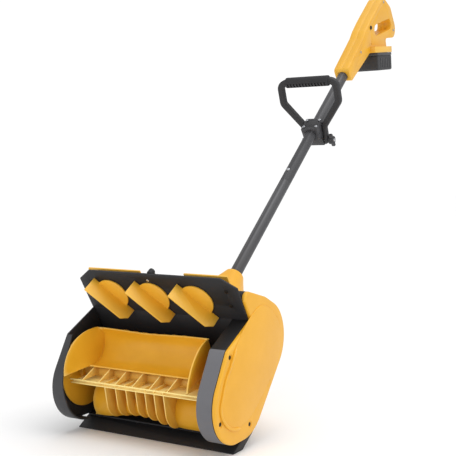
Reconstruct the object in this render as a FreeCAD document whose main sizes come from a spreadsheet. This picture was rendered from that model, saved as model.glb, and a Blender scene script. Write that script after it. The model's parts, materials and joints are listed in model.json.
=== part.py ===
import FreeCAD, Part
import math
import os
import re
import Sketcher

# Cordless snow shovel, millimetres. +X is the belt side, -Y is the mouth at the front,
# +Z is up. The origin is on the floor, in the middle of the scraper's lip.

doc = FreeCAD.newDocument("snow_shovel")
sheet = doc.addObject("Spreadsheet::Sheet", "sizes")

SIZES = {
    # head: rotor axis, scroll and side walls
    "axis_y": 16, "axis_z": 108, "rotor_radius": 83, "rotor_gap": 5, "wall": 3,
    "body_half": 170, "clear_width": 305, "case_depth": 30, "cover_depth": 8, "panel_rise": 3,
    "rim_width": 25, "fit_gap": 0.05, "side_gap": 2.5, "boss_radius": 5, "thread_depth": 9,
    # leaning deflector plate and its vanes
    "plate_lean": 33, "neck_run": 79, "plate_run": 90, "chamfer_across": 28, "chamfer_down": 20,
    "vane_pitch": 92, "vane_middle": -13, "vane_rise": 38, "vane_radius": 33, "vane_half": 50,
    "vane_tall": 31, "vane_thick": 2.6, "vane_turn": 41, "vane_chamfer": 12,
    "crank_reach": 14, "lever_turn": 28, "lever_shift": 0, "lever_up": 22, "crank_thick": 3,
    "pivot_radius": 4, "link_pin": 2, "slot_gap": 1.2,
    # scraper
    "blade_flat": 32, "blade_back": 70, "blade_rise": 24, "blade_tip": 1,
    # rotor
    "disc_radius": 68, "blade_wall": 2.6, "rib_pitch": 21.5, "rib_thick": 2.2, "tube_wall": 4,
    "paddle_curve": 38, "ear_inset": 33,
    # drive
    "shaft_radius": 6, "bearing_radius": 14, "bearing_width": 9, "pulley_radius": 60,
    "pulley_width": 13, "drive_radius": 11, "belt_thick": 3, "belt_width": 10, "motor_y": 108,
    "motor_z": 188, "motor_radius": 24, "motor_length": 72, "motor_shaft": 2.5,
    # rear housing, socket and pole
    "pole_y": 295, "pole_z": 268, "pole_angle": 39.6, "collar_radius": 20, "socket_depth": 90,
    "neck_depth": 150, "neck_half": 112, "visor_dip_half": 48, "tube_radius": 12.7, "tube_thick": 1.5,
    "joint_run": 297, "handle_run": 728, "tube_overlap": 60,
    # front handle
    "clamp_run": 498, "clamp_length": 42, "clamp_wall": 6, "loop_half": 80, "loop_rise": 116,
    "loop_lean": 17.6, "loop_radius": 8, "grip_radius": 12.5, "grip_half": 55, "bolt_radius": 4,
    "bolt_drop": 25, "leg_width": 11,
    # rear handle, battery
    "shell_half": 20, "foot_half": 35, "foot_drop": 28, "foot_run": 150, "foot_length": 136,
    "battery_tilt": 8, "battery_start": 22, "battery_length": 108, "battery_height": 48,
    "rail_height": 8, "rail_half": 24, "cell_pitch": 18.6, "latch_pocket": 8.5, "screw_radius": 2, "head_radius": 3.6,
    "head_height": 2.4, "cable_radius": 3.2,
}
for row, (alias, amount) in enumerate(SIZES.items(), start=1):
    sheet.set(f"A{row}", alias)
    sheet.set(f"B{row}", str(amount))
    sheet.setAlias(f"B{row}", alias)
doc.recompute()

PARTS = []
SCROLL = "(rotor_radius+rotor_gap)"
LEFT = "(wall-body_half)"
CASE = "(wall-body_half+clear_width)"
MIDDLE = "(wall-body_half+clear_width/2)"
COVER = f"({CASE}+case_depth)"
ROTOR_HALF = "(clear_width/2-side_gap)"


def tie(text):
    """Turn the plain words of a size into references to the sheet's cells."""
    def swap(match):
        word = match.group()
        return "sizes." + word if word in SIZES else word
    return re.sub(r"[a-z][a-z_]+", swap, str(text))


def amount_of(text):
    found = doc.Objects[0].evalExpression(tie(text))
    return float(getattr(found, "Value", found))


def bind(thing, path, text):
    thing.setExpression(path, tie(text))


# Frames: where a body's own axes stand. Each is (x, y, z, axis, angle) in words of the sheet.
GROUND = ("0", "0", "0", (1, 0, 0), "0")
PLATE = ("0", "axis_y", "axis_z", (1, 0, 0), "90+plate_lean")
POLE = ("0", "pole_y", "pole_z", (-1, 0, 0), "90-pole_angle")
HANDLE = ("0", "pole_y+handle_run*cos(pole_angle)", "pole_z+handle_run*sin(pole_angle)",
          (-1, 0, 0), "90-pole_angle")
FOOT = ("0", "pole_y+(handle_run+foot_run)*cos(pole_angle)+foot_drop*sin(pole_angle)",
        "pole_z+(handle_run+foot_run)*sin(pole_angle)-foot_drop*cos(pole_angle)",
        (1, 0, 0), "battery_tilt")


def plate_point(run, depth):
    """A point beside the plate, as words: run along it from the scroll, depth behind its face."""
    return (f"axis_y+({SCROLL}+{depth})*cos(plate_lean)-({run})*sin(plate_lean)",
            f"axis_z+({SCROLL}+{depth})*sin(plate_lean)+({run})*cos(plate_lean)")


def set_frame(thing, frame):
    across, back, up, axis, angle = frame
    thing.Placement = FreeCAD.Placement(FreeCAD.Vector(0, 0, 0),
                                        FreeCAD.Rotation(FreeCAD.Vector(*axis), 1))
    bind(thing, "Placement.Base.x", across)
    bind(thing, "Placement.Base.y", back)
    bind(thing, "Placement.Base.z", up)
    bind(thing, "Placement.Rotation.Angle", angle)


def tangents(first, second):
    """The line that touches two rounds, each (x, y, r), with both on its left."""
    dx, dy = second[0] - first[0], second[1] - first[1]
    turn = math.atan2(dy, dx) - math.acos((first[2] - second[2]) / math.hypot(dx, dy))
    nx, ny = math.cos(turn), math.sin(turn)
    return ((first[0] + first[2] * nx, first[1] + first[2] * ny),
            (second[0] + second[2] * nx, second[1] + second[2] * ny))


def pin_point(sketch, index, place, words):
    for kind, text in zip(("DistanceX", "DistanceY"), words[:2]):
        spot = sketch.addConstraint(
            Sketcher.Constraint(kind, -1, 1, index, place, amount_of(text)))
        bind(sketch, f"Constraints[{spot}]", text)


def draw(sketch, loop):
    """Draw one closed loop. A round is (x, y, r): r 0 is a corner, r below 0 a hollow round."""
    rounds = [tuple(amount_of(text) for text in item) for item in loop]
    z = FreeCAD.Vector(0, 0, 1)
    if len(loop) == 1:
        x, y, r = rounds[0]
        index = sketch.addGeometry(Part.Circle(FreeCAD.Vector(x, y, 0), z, r), False)
        pin_point(sketch, index, 3, loop[0])
        spot = sketch.addConstraint(Sketcher.Constraint("Radius", index, r))
        bind(sketch, f"Constraints[{spot}]", loop[0][2])
        return
    count = len(loop)
    ends = [tangents(rounds[i], rounds[(i + 1) % count]) for i in range(count)]
    lines = [sketch.addGeometry(Part.LineSegment(FreeCAD.Vector(*a, 0), FreeCAD.Vector(*b, 0)))
             for a, b in ends]
    for i, (x, y, r) in enumerate(rounds):
        before, after = lines[i - 1], lines[i]
        if r == 0:
            sketch.addConstraint(Sketcher.Constraint("Coincident", before, 2, after, 1))
            pin_point(sketch, after, 1, loop[i])
            continue
        arrive, leave = ends[i - 1][1], ends[i][0]
        angles = [math.atan2(p[1] - y, p[0] - x) for p in (arrive, leave)]
        if r < 0:
            angles.reverse()
        if angles[1] < angles[0]:
            angles[1] += 2 * math.pi
        circle = Part.Circle(FreeCAD.Vector(x, y, 0), z, abs(r))
        arc = sketch.addGeometry(Part.ArcOfCircle(circle, *angles), False)
        start, end = (1, 2) if r > 0 else (2, 1)
        sketch.addConstraint(Sketcher.Constraint("Tangent", before, 2, arc, start))
        sketch.addConstraint(Sketcher.Constraint("Tangent", arc, end, after, 1))
        pin_point(sketch, arc, 3, loop[i])
        spot = sketch.addConstraint(Sketcher.Constraint("Radius", arc, abs(r)))
        sign = "" if r > 0 else "-"
        bind(sketch, f"Constraints[{spot}]", f"{sign}({loop[i][2]})")


class Piece:
    """A PartDesign body: pads and pockets, each along one of the body's own axes."""

    def __init__(self, label, frame=GROUND, keep=True):
        self.body = doc.addObject("PartDesign::Body", "body_" + label)
        self.body.Label = label if keep else label + "_blank"
        if hasattr(self.body, "AllowCompound"):
            self.body.AllowCompound = True
        set_frame(self.body, frame)
        if keep:
            PARTS.append(self.body)

    def sketch(self, plane, start, loops):
        flat = next(item for item in self.body.Origin.OriginFeatures
                    if item.Role == plane + "_Plane")
        sketch = self.body.newObject("Sketcher::SketchObject", "outline")
        sketch.AttachmentSupport = [(flat, "")]
        sketch.MapMode = "FlatFace"
        sign = "-" if plane == "XZ" else ""
        bind(sketch, "AttachmentOffset.Base.z", f"{sign}({start})")
        for loop in loops:
            draw(sketch, loop)
        return sketch

    def add(self, plane, start, length, *loops):
        pad = self.body.newObject("PartDesign::Pad", "pad")
        pad.Profile = self.sketch(plane, start, loops)
        pad.Reversed = plane == "XZ"
        bind(pad, "Length", length)
        return self

    def cut(self, plane, start, length, *loops):
        pocket = self.body.newObject("PartDesign::Pocket", "pocket")
        pocket.Profile = self.sketch(plane, start, loops)
        pocket.Reversed = plane != "XZ"
        bind(pocket, "Length", length)
        return self

    def loft(self, kind, *sections):
        """A loft along Z through sections given as (start, loop)."""
        outlines = [self.sketch("XY", start, [loop]) for start, loop in sections]
        loft = self.body.newObject("PartDesign::" + kind, "loft")
        loft.Profile = outlines[0]
        loft.Sections = outlines[1:]
        return self

    def chamfer(self, point, size):
        """Cut off the straight edge whose middle is nearest a point of the body's frame."""
        doc.recompute()
        base = self.body.Tip
        spot = FreeCAD.Vector(*[amount_of(text) for text in point])
        edges = base.Shape.Edges
        nearest = min(range(len(edges)),
                      key=lambda i: edges[i].CenterOfMass.distanceToPoint(spot))
        chamfer = self.body.newObject("PartDesign::Chamfer", "chamfer")
        chamfer.Base = (base, [f"Edge{nearest + 1}"])
        bind(chamfer, "Size", size)
        return self


def disc(x, y, r):
    return [(str(x), str(y), str(r))]


def box_loop(x_low, y_low, x_high, y_high, r="0"):
    return [(f"{x_low}+{r}", f"{y_low}+{r}", r), (f"{x_high}-({r})", f"{y_low}+{r}", r),
            (f"{x_high}-({r})", f"{y_high}-({r})", r), (f"{x_low}+{r}", f"{y_high}-({r})", r)]


def slot_loop(x_one, y_one, x_two, y_two, r):
    return [(x_one, y_one, r), (x_two, y_two, r)]


def corners(*points):
    return [(str(x), str(y), "0") for x, y in points]


def joined(label, kind, first, second):
    """A Part boolean of two blanks, kept as one node."""
    made = doc.addObject("Part::" + kind, "join_" + label)
    made.Base = first
    made.Tool = second
    made.Label = label
    PARTS.append(made)
    return made


AXIS = ("axis_y", "axis_z")
MOTOR = ("motor_y", "motor_z")


def side_outline(inset="0"):
    """The outline of the belt case, cover and cheek, drawn in by a wall where asked."""
    neck_y, neck_z = plate_point("neck_run-0.6", "wall")
    brow_y, brow_z = plate_point("neck_run+44", "wall+12")
    return [("axis_y-18", "axis_z-19", f"69.5-{inset}"), ("axis_y+6", "axis_z-8", f"80-{inset}"),
            ("axis_y+89", "axis_z+72", f"70-{inset}"), ("axis_y+69", "axis_z+105", f"50-{inset}"),
            (brow_y, brow_z, f"12-{inset}"),
            (f"{neck_y}+1.41*{inset}", f"{neck_z}-0.34*{inset}", "0"),
            ("axis_y-38", "axis_z+66", f"10-{inset}")]


# --- black auger housing: scroll round the rotor, then a straight wall up to the plate ---
housing = Piece("auger_housing")
housing.add("YZ", LEFT, "clear_width", disc(*AXIS, f"{SCROLL}+wall"))
housing.cut("YZ", LEFT, "clear_width", disc(*AXIS, SCROLL))
FAR = f"3*{SCROLL}"
housing.cut("YZ", LEFT, "clear_width", corners(
    AXIS, (f"axis_y+{FAR}*cos(plate_lean)", f"axis_z+{FAR}*sin(plate_lean)"),
    ("axis_y", f"axis_z+{FAR}"), (f"axis_y-{FAR}", "axis_z"), (f"axis_y-{FAR}", f"axis_z-{FAR}"),
    (f"axis_y+{FAR}*cos(277)", f"axis_z+{FAR}*sin(277)")))
housing.add("YZ", LEFT, "clear_width", corners(
    plate_point("-0.5", "0"), plate_point("-0.5", "wall"), plate_point("neck_run", "wall"),
    plate_point("neck_run", "0")))

# --- left cheek: side wall, with a front rim that widens towards the floor ---
cheek = Piece("left_cheek")
cheek.add("YZ", f"{LEFT}-wall", "wall", side_outline())
cheek.add("YZ", LEFT, "rim_width", side_outline(), side_outline("wall"))
cheek.cut("YZ", LEFT, "rim_width", corners(
    ("axis_y-16", "-20"), ("axis_y+250", "-20"), ("axis_y+250", "axis_z+250"),
    ("axis_y-150", "axis_z+250"), ("axis_y-150", "axis_z+72"), ("axis_y-16", "axis_z+72")))
cheek.cut("XZ", "-100", "100", corners(
    (f"{LEFT}+rim_width+1", "axis_z-50"), (f"{LEFT}+rim_width+1", "axis_z+90"),
    (f"{LEFT}+6", "axis_z+90")))
cheek.cut("YZ", f"{LEFT}-wall", "wall", disc(*AXIS, "bearing_radius"))

# --- belt case: a tray on the right that closes the scroll and holds the drive ---
case = Piece("case", keep=False)
case.add("YZ", CASE, "case_depth", side_outline())
case.cut("YZ", f"{CASE}+wall", "case_depth", side_outline("wall"))
case.cut("YZ", CASE, "wall", disc(*AXIS, "bearing_radius"))
case.cut("YZ", CASE, "wall", disc(*MOTOR, "motor_shaft+4"))
SCREW_SPOTS = [("axis_y+33", "axis_z+107"), ("axis_y+122", "axis_z+106"),
               ("axis_y-41", "axis_z+63"), ("axis_y+97", "axis_z+2"),
               ("axis_y-72", "axis_z-42"), ("axis_y+27", "axis_z-65")]
case.add("YZ", f"{CASE}+wall", "case_depth-wall",
         *[disc(y, z, "boss_radius") for y, z in SCREW_SPOTS])
case.cut("YZ", f"{COVER}-16", "16", *[disc(y, z, "screw_radius") for y, z in SCREW_SPOTS])

# --- yellow side cover: a shallow cap with a raised panel, held by six screws ---
cover = Piece("side_cover")
cover.add("YZ", COVER, "cover_depth", side_outline())
cover.cut("YZ", COVER, "cover_depth-wall", side_outline("wall"))
PANEL = [("axis_y-2", "axis_z-8", "54"), ("axis_y+10", "axis_z-4", "54"),
         ("axis_y+88", "axis_z+72", "50"), ("axis_y+66", "axis_z+84", "48"),
         ("axis_y+8", "axis_z+66", "20")]
cover.add("YZ", f"{COVER}+cover_depth", "panel_rise", PANEL)
cover.add("YZ", COVER, "cover_depth-wall", *[disc(y, z, "boss_radius") for y, z in SCREW_SPOTS])
cover.cut("YZ", COVER, "cover_depth",
          *[disc(y, z, "screw_radius+0.2") for y, z in SCREW_SPOTS])
cover.cut("YZ", f"{COVER}+cover_depth-head_height", "head_height+panel_rise",
          *[disc(y, z, "head_radius+0.3") for y, z in SCREW_SPOTS])

screws = Piece("cover_screws")
screws.add("YZ", f"{COVER}-12", "12+cover_depth-head_height",
           *[disc(y, z, "screw_radius") for y, z in SCREW_SPOTS])
screws.add("YZ", f"{COVER}+cover_depth-head_height", "head_height",
           *[disc(y, z, "head_radius") for y, z in SCREW_SPOTS])

# --- scraper: full-width blade under the scroll, thin at its lip ---
blade = Piece("scraper_blade")
blade.add("YZ", "2-body_half", "2*body_half-4", corners(
    ("0", "0"), ("blade_flat", "0"), ("blade_back", "blade_rise"),
    ("blade_back-6", "blade_rise+8"), ("axis_y+10", "axis_z-" + SCROLL + "-wall"),
    ("0", "blade_tip")))
blade.cut("YZ", "-body_half", "2*body_half", disc(*AXIS, f"{SCROLL}+wall"))
BLADE_SPOTS = [f"{MIDDLE}+{offset}" for offset in (-120, -40, 40, 120)]
blade.cut("XY", "-1", "60", *[disc(x, "axis_y+10", "screw_radius") for x in BLADE_SPOTS])
blade.cut("XY", "-1", "head_height+1",
          *[disc(x, "axis_y+10", "head_radius+0.2") for x in BLADE_SPOTS])
blade_screws = Piece("scraper_screws")
blade_screws.add("XY", "0.2", "head_height-0.2",
                 *[disc(x, "axis_y+10", "head_radius") for x in BLADE_SPOTS])
blade_screws.add("XY", "head_height", "10", *[disc(x, "axis_y+10", "screw_radius")
                                              for x in BLADE_SPOTS])

# --- deflector plate, in its own leaning frame: X across, Y up the plate, Z out of its face ---
NECK = "neck_run"
TOP = "(neck_run+plate_run)"
FACE = f"(-{SCROLL})"
PIVOT_UP = "(neck_run+vane_rise)"
VANES = [("left", "(vane_middle-vane_pitch)"), ("middle", "vane_middle"),
         ("right", "(vane_middle+vane_pitch)")]
LEVER_DOWN = "(crank_reach*tan(vane_turn)/tan(lever_turn))"
BAR_UP = f"({PIVOT_UP}+crank_reach)"
LEVER_AT = ("(vane_middle+lever_shift)", f"({BAR_UP}+{LEVER_DOWN})")
PLATE_SPOTS = [("-(body_half-24)", f"{NECK}+31"), ("body_half-24", f"{NECK}+31"),
               ("-(body_half-24)", f"{NECK}+62"), ("body_half-24", f"{NECK}+62")]
plate = Piece("deflector_plate", PLATE)
plate.add("XY", f"{FACE}-wall", "wall", corners(
    ("-body_half", NECK), ("body_half", NECK), ("body_half", f"{TOP}-chamfer_down"),
    ("body_half-chamfer_across", TOP), ("chamfer_across-body_half", TOP),
    ("-body_half", f"{TOP}-chamfer_down")))
plate.cut("XY", f"{FACE}-wall", "wall",
          *[disc(x, PIVOT_UP, "pivot_radius+fit_gap") for _, x in VANES])
plate.cut("XY", f"{FACE}-wall", "wall", disc(*LEVER_AT, "pivot_radius-1"))
plate.cut("XY", f"{FACE}-wall", "wall", *[disc(*spot, "screw_radius") for spot in PLATE_SPOTS])
plate_screws = Piece("plate_screws", PLATE)
plate_screws.add("XY", FACE, "head_height-1", *[disc(*spot, "head_radius")
                                                for spot in PLATE_SPOTS])
plate_screws.add("XY", f"{FACE}-wall-thread_depth", "thread_depth+wall", *[disc(*spot, "screw_radius")
                                                     for spot in PLATE_SPOTS])


def turned(x, y, along, aside, angle):
    """A point along and beside a line that is turned from the plate's Y axis by an angle."""
    return (f"{x}-({along})*sin({angle})+({aside})*cos({angle})",
            f"{y}+({along})*cos({angle})+({aside})*sin({angle})")


# --- three vanes on round feet, each with a crank behind the plate ---
for side, x in VANES:
    vane = Piece("vane_" + side, PLATE)
    vane.add("XY", f"{FACE}+0.3", "3", disc(x, PIVOT_UP, "vane_radius"))
    half = "vane_thick/2"
    vane.add("XY", f"{FACE}+0.3", "vane_tall+3", corners(
        turned(x, PIVOT_UP, "-vane_half", f"-{half}", "vane_turn"),
        turned(x, PIVOT_UP, "-vane_half", half, "vane_turn"),
        turned(x, PIVOT_UP, "vane_half-4", half, "vane_turn"),
        turned(x, PIVOT_UP, "vane_half-4", f"-{half}", "vane_turn")))
    vane.add("XY", f"{FACE}-wall-1-crank_thick", "wall+1.3+crank_thick",
             disc(x, PIVOT_UP, "pivot_radius"))
    low = turned(x, PIVOT_UP, "-vane_half", "0", "vane_turn")
    vane.chamfer((*low, f"{FACE}+3.3+vane_tall"), "vane_chamfer")
    crank = Piece("crank_" + side, PLATE)
    far = turned(x, PIVOT_UP, "crank_reach/cos(vane_turn)", "0", "vane_turn")
    near = turned(x, PIVOT_UP, "crank_reach", "0", "vane_turn")
    crank.add("XY", f"{FACE}-wall-0.5-crank_thick", "crank_thick",
              [(x, PIVOT_UP, "pivot_radius+4"), (*far, "link_pin+slot_gap+2.5")])
    crank.cut("XY", f"{FACE}-wall-0.5-crank_thick", "crank_thick",
              slot_loop(*far, *near, "link_pin+slot_gap"))
    crank.cut("XY", f"{FACE}-wall-0.5-crank_thick", "crank_thick",
              disc(x, PIVOT_UP, "pivot_radius"))

# --- link bar behind the cranks, with a pin into each crank and one into the lever ---
SHIFT = "(crank_reach*tan(vane_turn))"
BAR_BACK = f"({FACE}-wall-4.5-2*crank_thick)"
bar = Piece("link_bar", PLATE)
bar.add("XY", BAR_BACK, "crank_thick", box_loop(
    f"vane_middle-vane_pitch-{SHIFT}-8", f"{BAR_UP}-6", f"vane_middle+vane_pitch-{SHIFT}+8",
    f"{BAR_UP}+6", "4"))
bar.add("XY", BAR_BACK, "2*crank_thick+2.5",
        *[disc(f"{x}-{SHIFT}", BAR_UP, "link_pin") for _, x in VANES])
bar.add("XY", f"{BAR_BACK}-crank_thick-1.5", "crank_thick+1.5+1",
        disc(f"{LEVER_AT[0]}-{SHIFT}", BAR_UP, "link_pin"))

# --- steering lever on its own post, reaching over the plate's top edge ---
LEVER_BACK = f"({BAR_BACK}-1.5-crank_thick)"
tip = turned(*LEVER_AT, "lever_up", "0", "-lever_turn")
heel = turned(*LEVER_AT, f"-{LEVER_DOWN}/cos(lever_turn)", "0", "-lever_turn")
heel_near = turned(*LEVER_AT, f"-{LEVER_DOWN}", "0", "-lever_turn")
lever = Piece("steering_lever", PLATE)
lever.add("XY", LEVER_BACK, "crank_thick", [(*tip, "7"), (*heel, "link_pin+slot_gap+2.5")])
lever.add("XY", LEVER_BACK, "crank_thick", disc(*LEVER_AT, "9"))
lever.cut("XY", LEVER_BACK, "crank_thick", slot_loop(*heel, *heel_near, "link_pin+slot_gap"))
lever.cut("XY", LEVER_BACK, "crank_thick", disc(*LEVER_AT, "pivot_radius-1+fit_gap"))
lever.add("XY", LEVER_BACK, "12", disc(*tip, "6"))
post = Piece("lever_post", PLATE)
post.add("XY", f"{LEVER_BACK}-2.5", f"{FACE}-({LEVER_BACK})+2.5", disc(*LEVER_AT, "pivot_radius-1"))
post.add("XY", f"{LEVER_BACK}-2.5", "2", disc(*LEVER_AT, "pivot_radius+2"))
post.add("XY", f"{LEVER_BACK}+crank_thick+0.5", f"{FACE}-wall-({LEVER_BACK})-crank_thick-0.5",
         disc(*LEVER_AT, "pivot_radius+1"))

# --- rotor: two hollow paddles, end discs and stiffening ribs, moulded round a tube ---
TIP = "(rotor_radius-1)"


def round_axis(half_turn, *points):
    """Points given from the rotor's axis, turned half round for the second paddle."""
    sign = "-" if half_turn else "+"
    return [(f"axis_y{sign}({dy})", f"axis_z{sign}({dz})", str(r)) for dy, dz, r in points]


HOLLOW = f"({TIP}-30)"
rotor = Piece("rotor")
rotor.add("YZ", f"{MIDDLE}-{ROTOR_HALF}", f"2*{ROTOR_HALF}",
          disc(*AXIS, "shaft_radius+tube_wall+2"))
for end in (f"{MIDDLE}-{ROTOR_HALF}", f"{MIDDLE}+{ROTOR_HALF}-blade_wall"):
    rotor.add("YZ", end, "blade_wall", disc(*AXIS, "disc_radius"))
for half_turn in (False, True):
    # paddle: an arc band, open forwards above the axis and backwards below it
    rotor.add("YZ", f"{MIDDLE}-{ROTOR_HALF}+ear_inset", f"2*({ROTOR_HALF}-ear_inset)", round_axis(
        half_turn, ("-27", f"{HOLLOW}-paddle_curve-0.4", 0), ("-21", HOLLOW, "paddle_curve"),
        ("4", TIP, 0), ("2", f"{TIP}-1", 0), ("-21", HOLLOW, "blade_wall-paddle_curve"),
        ("-27", f"{HOLLOW}-paddle_curve+blade_wall-0.4", 0)))
    # ears: side walls of the scoop, set in from the ends
    for ear in (f"{MIDDLE}-{ROTOR_HALF}+ear_inset", f"{MIDDLE}+{ROTOR_HALF}-ear_inset-blade_wall"):
        rotor.add("YZ", ear, "blade_wall", round_axis(
            half_turn, (f"-{TIP}", "-3", 0), ("-27", f"{HOLLOW}-paddle_curve-0.4", 0),
            ("-21", HOLLOW, "paddle_curve-1"), ("4", TIP, 0), ("0", "0", f"{TIP}-1")))
    # deck and ribs that stiffen the back of the other paddle
    rotor.add("YZ", f"{MIDDLE}-{ROTOR_HALF}+1", f"2*{ROTOR_HALF}-2", round_axis(
        half_turn, ("-57", "-9", 0), ("0", "-3", 0), ("0", "0", 0), ("-57", "-6.6", 0)))
    for step in range(-3, 4):
        rotor.add("YZ", f"{MIDDLE}+({step})*rib_pitch-rib_thick/2", "rib_thick", round_axis(
            half_turn, ("-14", "17", 0), ("-56", "-6", 0), ("-8", f"40-{TIP}", "39.5"),
            ("-3", f"0.5-{TIP}", 0), ("21", f"-{HOLLOW}", "0.1-paddle_curve"),
            ("27", f"0.4-{HOLLOW}+paddle_curve", 0)))
rotor.cut("YZ", f"{MIDDLE}-{ROTOR_HALF}", f"2*{ROTOR_HALF}", disc(*AXIS, "shaft_radius"))

# --- rotor shaft in two ball bearings, with the large pulley on its belt end ---
SHAFT_END = f"({COVER}-2)"
shaft = Piece("rotor_shaft")
shaft.add("YZ", f"{LEFT}-wall-4", f"{SHAFT_END}-({LEFT})+wall+4", disc(*AXIS, "shaft_radius"))
for side, start in (("left", f"{LEFT}-wall-7"), ("right", f"{CASE}-0.3")):
    bearing = Piece(side + "_bearing")
    bearing.add("YZ", start, "bearing_width", disc(*AXIS, "bearing_radius"))
    bearing.cut("YZ", start, "bearing_width", disc(*AXIS, "shaft_radius+fit_gap"))
bearing_cap = Piece("bearing_cap")
bearing_cap.add("YZ", f"{LEFT}-wall-10", "10", disc(*AXIS, "bearing_radius+7"))
bearing_cap.cut("YZ", f"{LEFT}-wall-7", "7", disc(*AXIS, "bearing_radius"))

PULLEY = f"({CASE}+11)"
BELT = f"({PULLEY}+pulley_width/2-belt_width/2)"
wheel = Piece("rotor_pulley")
wheel.add("YZ", PULLEY, "pulley_width", disc(*AXIS, "pulley_radius"))
wheel.cut("YZ", f"{PULLEY}+4", "pulley_width-4", disc(*AXIS, "pulley_radius-6"))
wheel.add("YZ", f"{PULLEY}+3", "pulley_width-3", disc(*AXIS, "shaft_radius+8"))
wheel.cut("YZ", PULLEY, "4", *[disc(f"axis_y+36*cos({turn})", f"axis_z+36*sin({turn})", "11")
                               for turn in range(0, 360, 60)])
wheel.cut("YZ", PULLEY, "pulley_width", disc(*AXIS, "shaft_radius"))
belt = Piece("drive_belt")
belt.add("YZ", BELT, "belt_width",
         [(*AXIS, "pulley_radius+0.3+belt_thick"), (*MOTOR, "drive_radius+0.3+belt_thick")],
         [(*AXIS, "pulley_radius+0.3"), (*MOTOR, "drive_radius+0.3")])

# --- motor with its own small pulley, bolted to the case wall ---
MOTOR_SPOTS = [("motor_y-14", "motor_z"), ("motor_y+14", "motor_z")]
motor = Piece("motor")
motor.add("YZ", f"{CASE}-motor_length", "motor_length", disc(*MOTOR, "motor_radius"))
motor.add("YZ", f"{CASE}-8-motor_length", "8", disc(*MOTOR, "motor_radius-7"))
motor.cut("YZ", f"{CASE}-8-motor_length", "motor_length+8",
          disc(*MOTOR, "motor_shaft+fit_gap"))
motor.cut("YZ", f"{CASE}-8", "8", *[disc(*spot, "screw_radius") for spot in MOTOR_SPOTS])
case.cut("YZ", CASE, "wall", *[disc(*spot, "screw_radius") for spot in MOTOR_SPOTS])
spindle = Piece("motor_spindle")
spindle.add("YZ", f"{CASE}-4-motor_length", f"motor_length+4+{PULLEY}-({CASE})+pulley_width",
            disc(*MOTOR, "motor_shaft"))
pinion = Piece("drive_pulley")
pinion.add("YZ", PULLEY, "pulley_width", disc(*MOTOR, "drive_radius"))
for rim in (f"{PULLEY}-0.2", f"{PULLEY}+pulley_width-1"):
    pinion.add("YZ", rim, "1.2", disc(*MOTOR, "drive_radius+2.5"))
pinion.cut("YZ", f"{PULLEY}-1", "pulley_width+3", disc(*MOTOR, "motor_shaft"))
motor_screws = Piece("motor_screws")
motor_screws.add("YZ", f"{CASE}-7", "7+wall", *[disc(*spot, "screw_radius")
                                                for spot in MOTOR_SPOTS])
motor_screws.add("YZ", f"{CASE}+wall", "head_height", *[disc(*spot, "head_radius")
                                                        for spot in MOTOR_SPOTS])

# --- yellow rear housing: a hood behind the plate, with a neck that holds the pole ---
VISOR = "(wall+24)"
VISOR_END = f"({TOP}-17)"
BELOW = [("-150", "-60"), ("axis_y+64", "-60"), ("axis_y+64", "axis_z-40")]
hood = Piece("hood", keep=False)
hood.add("YZ", LEFT, "clear_width", side_outline())
hood.cut("YZ", LEFT, "clear_width", corners(
    *BELOW, plate_point("neck_run-12", "wall+20"), plate_point("neck_run+56", "wall+11"),
    plate_point("neck_run+56", "-60"), ("-300", "300"), ("-300", "-60")))
hood.add("YZ", LEFT, "clear_width", corners(
    plate_point("neck_run+40", VISOR), plate_point("neck_run+40", f"{VISOR}+wall"),
    plate_point(VISOR_END, f"{VISOR}+wall"), plate_point(VISOR_END, VISOR)))
hood.cut("YZ", "-visor_dip_half", "2*visor_dip_half", corners(
    plate_point(f"{VISOR_END}-8", f"{VISOR}-1"), plate_point(f"{VISOR_END}-8", f"{VISOR}+wall+1"),
    plate_point(f"{VISOR_END}+1", f"{VISOR}+wall+1"), plate_point(f"{VISOR_END}+1", f"{VISOR}-1")))
hood.cut("YZ", f"{LEVER_AT[0]}-34", "68", corners(
    plate_point("neck_run+30", "wall-1"), plate_point("neck_run+30", "wall+19"),
    plate_point(f"{TOP}+20", "wall+19"), plate_point(f"{TOP}+20", "wall-1")))
SCREW_RUN = "(-socket_depth/4)"
neck = Piece("neck", POLE, keep=False)
neck.loft("AdditiveLoft",
          ("-neck_depth", box_loop("-neck_half", "-62", "neck_half", "44", "30")),
          ("-neck_depth/2", box_loop("-neck_half*0.5", "-40", "neck_half*0.5", "34", "26")),
          ("0", box_loop("-collar_radius", "-collar_radius", "collar_radius",
                         "collar_radius", "(collar_radius-1)")))
neck.cut("XY", "-neck_depth-1", "neck_depth-socket_depth+2", box_loop(
    "-neck_half*0.55", "-36", "neck_half*0.55", "30", "22"))
neck.cut("XY", "-socket_depth-1", "socket_depth+2", disc(0, 0, "tube_radius"))
neck.cut("XZ", "-tube_radius-12", "8", disc(0, SCREW_RUN, "head_radius"))
neck.cut("XZ", "-tube_radius-4", "8", disc(0, SCREW_RUN, "screw_radius"))
room = Piece("room", keep=False)
room.add("YZ", LEFT, "clear_width", side_outline("wall"))
room.cut("YZ", LEFT, "clear_width", corners(
    plate_point("neck_run+38", f"{VISOR}-1"), plate_point("neck_run+38", f"{VISOR}+wall+1"),
    plate_point("neck_run+90", f"{VISOR}+wall+1"), plate_point("neck_run+90", f"{VISOR}-1")))
whole = doc.addObject("Part::Fuse", "hood_and_neck")
whole.Base, whole.Tool = hood.body, neck.body
threads = Piece("plate_threads", PLATE, keep=False)
threads.add("XY", f"{FACE}-wall-thread_depth", "thread_depth",
            *[disc(*spot, "screw_radius") for spot in PLATE_SPOTS])
room.add("YZ", LEFT, "clear_width", disc(*AXIS, f"{SCROLL}+wall"))
hollow = doc.addObject("Part::Cut", "hollow_hood")
hollow.Base, hollow.Tool = whole, room.body
joined("rear_housing", "Cut", hollow, threads.body)
joined("belt_case", "Cut", case.body, threads.body)

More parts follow.
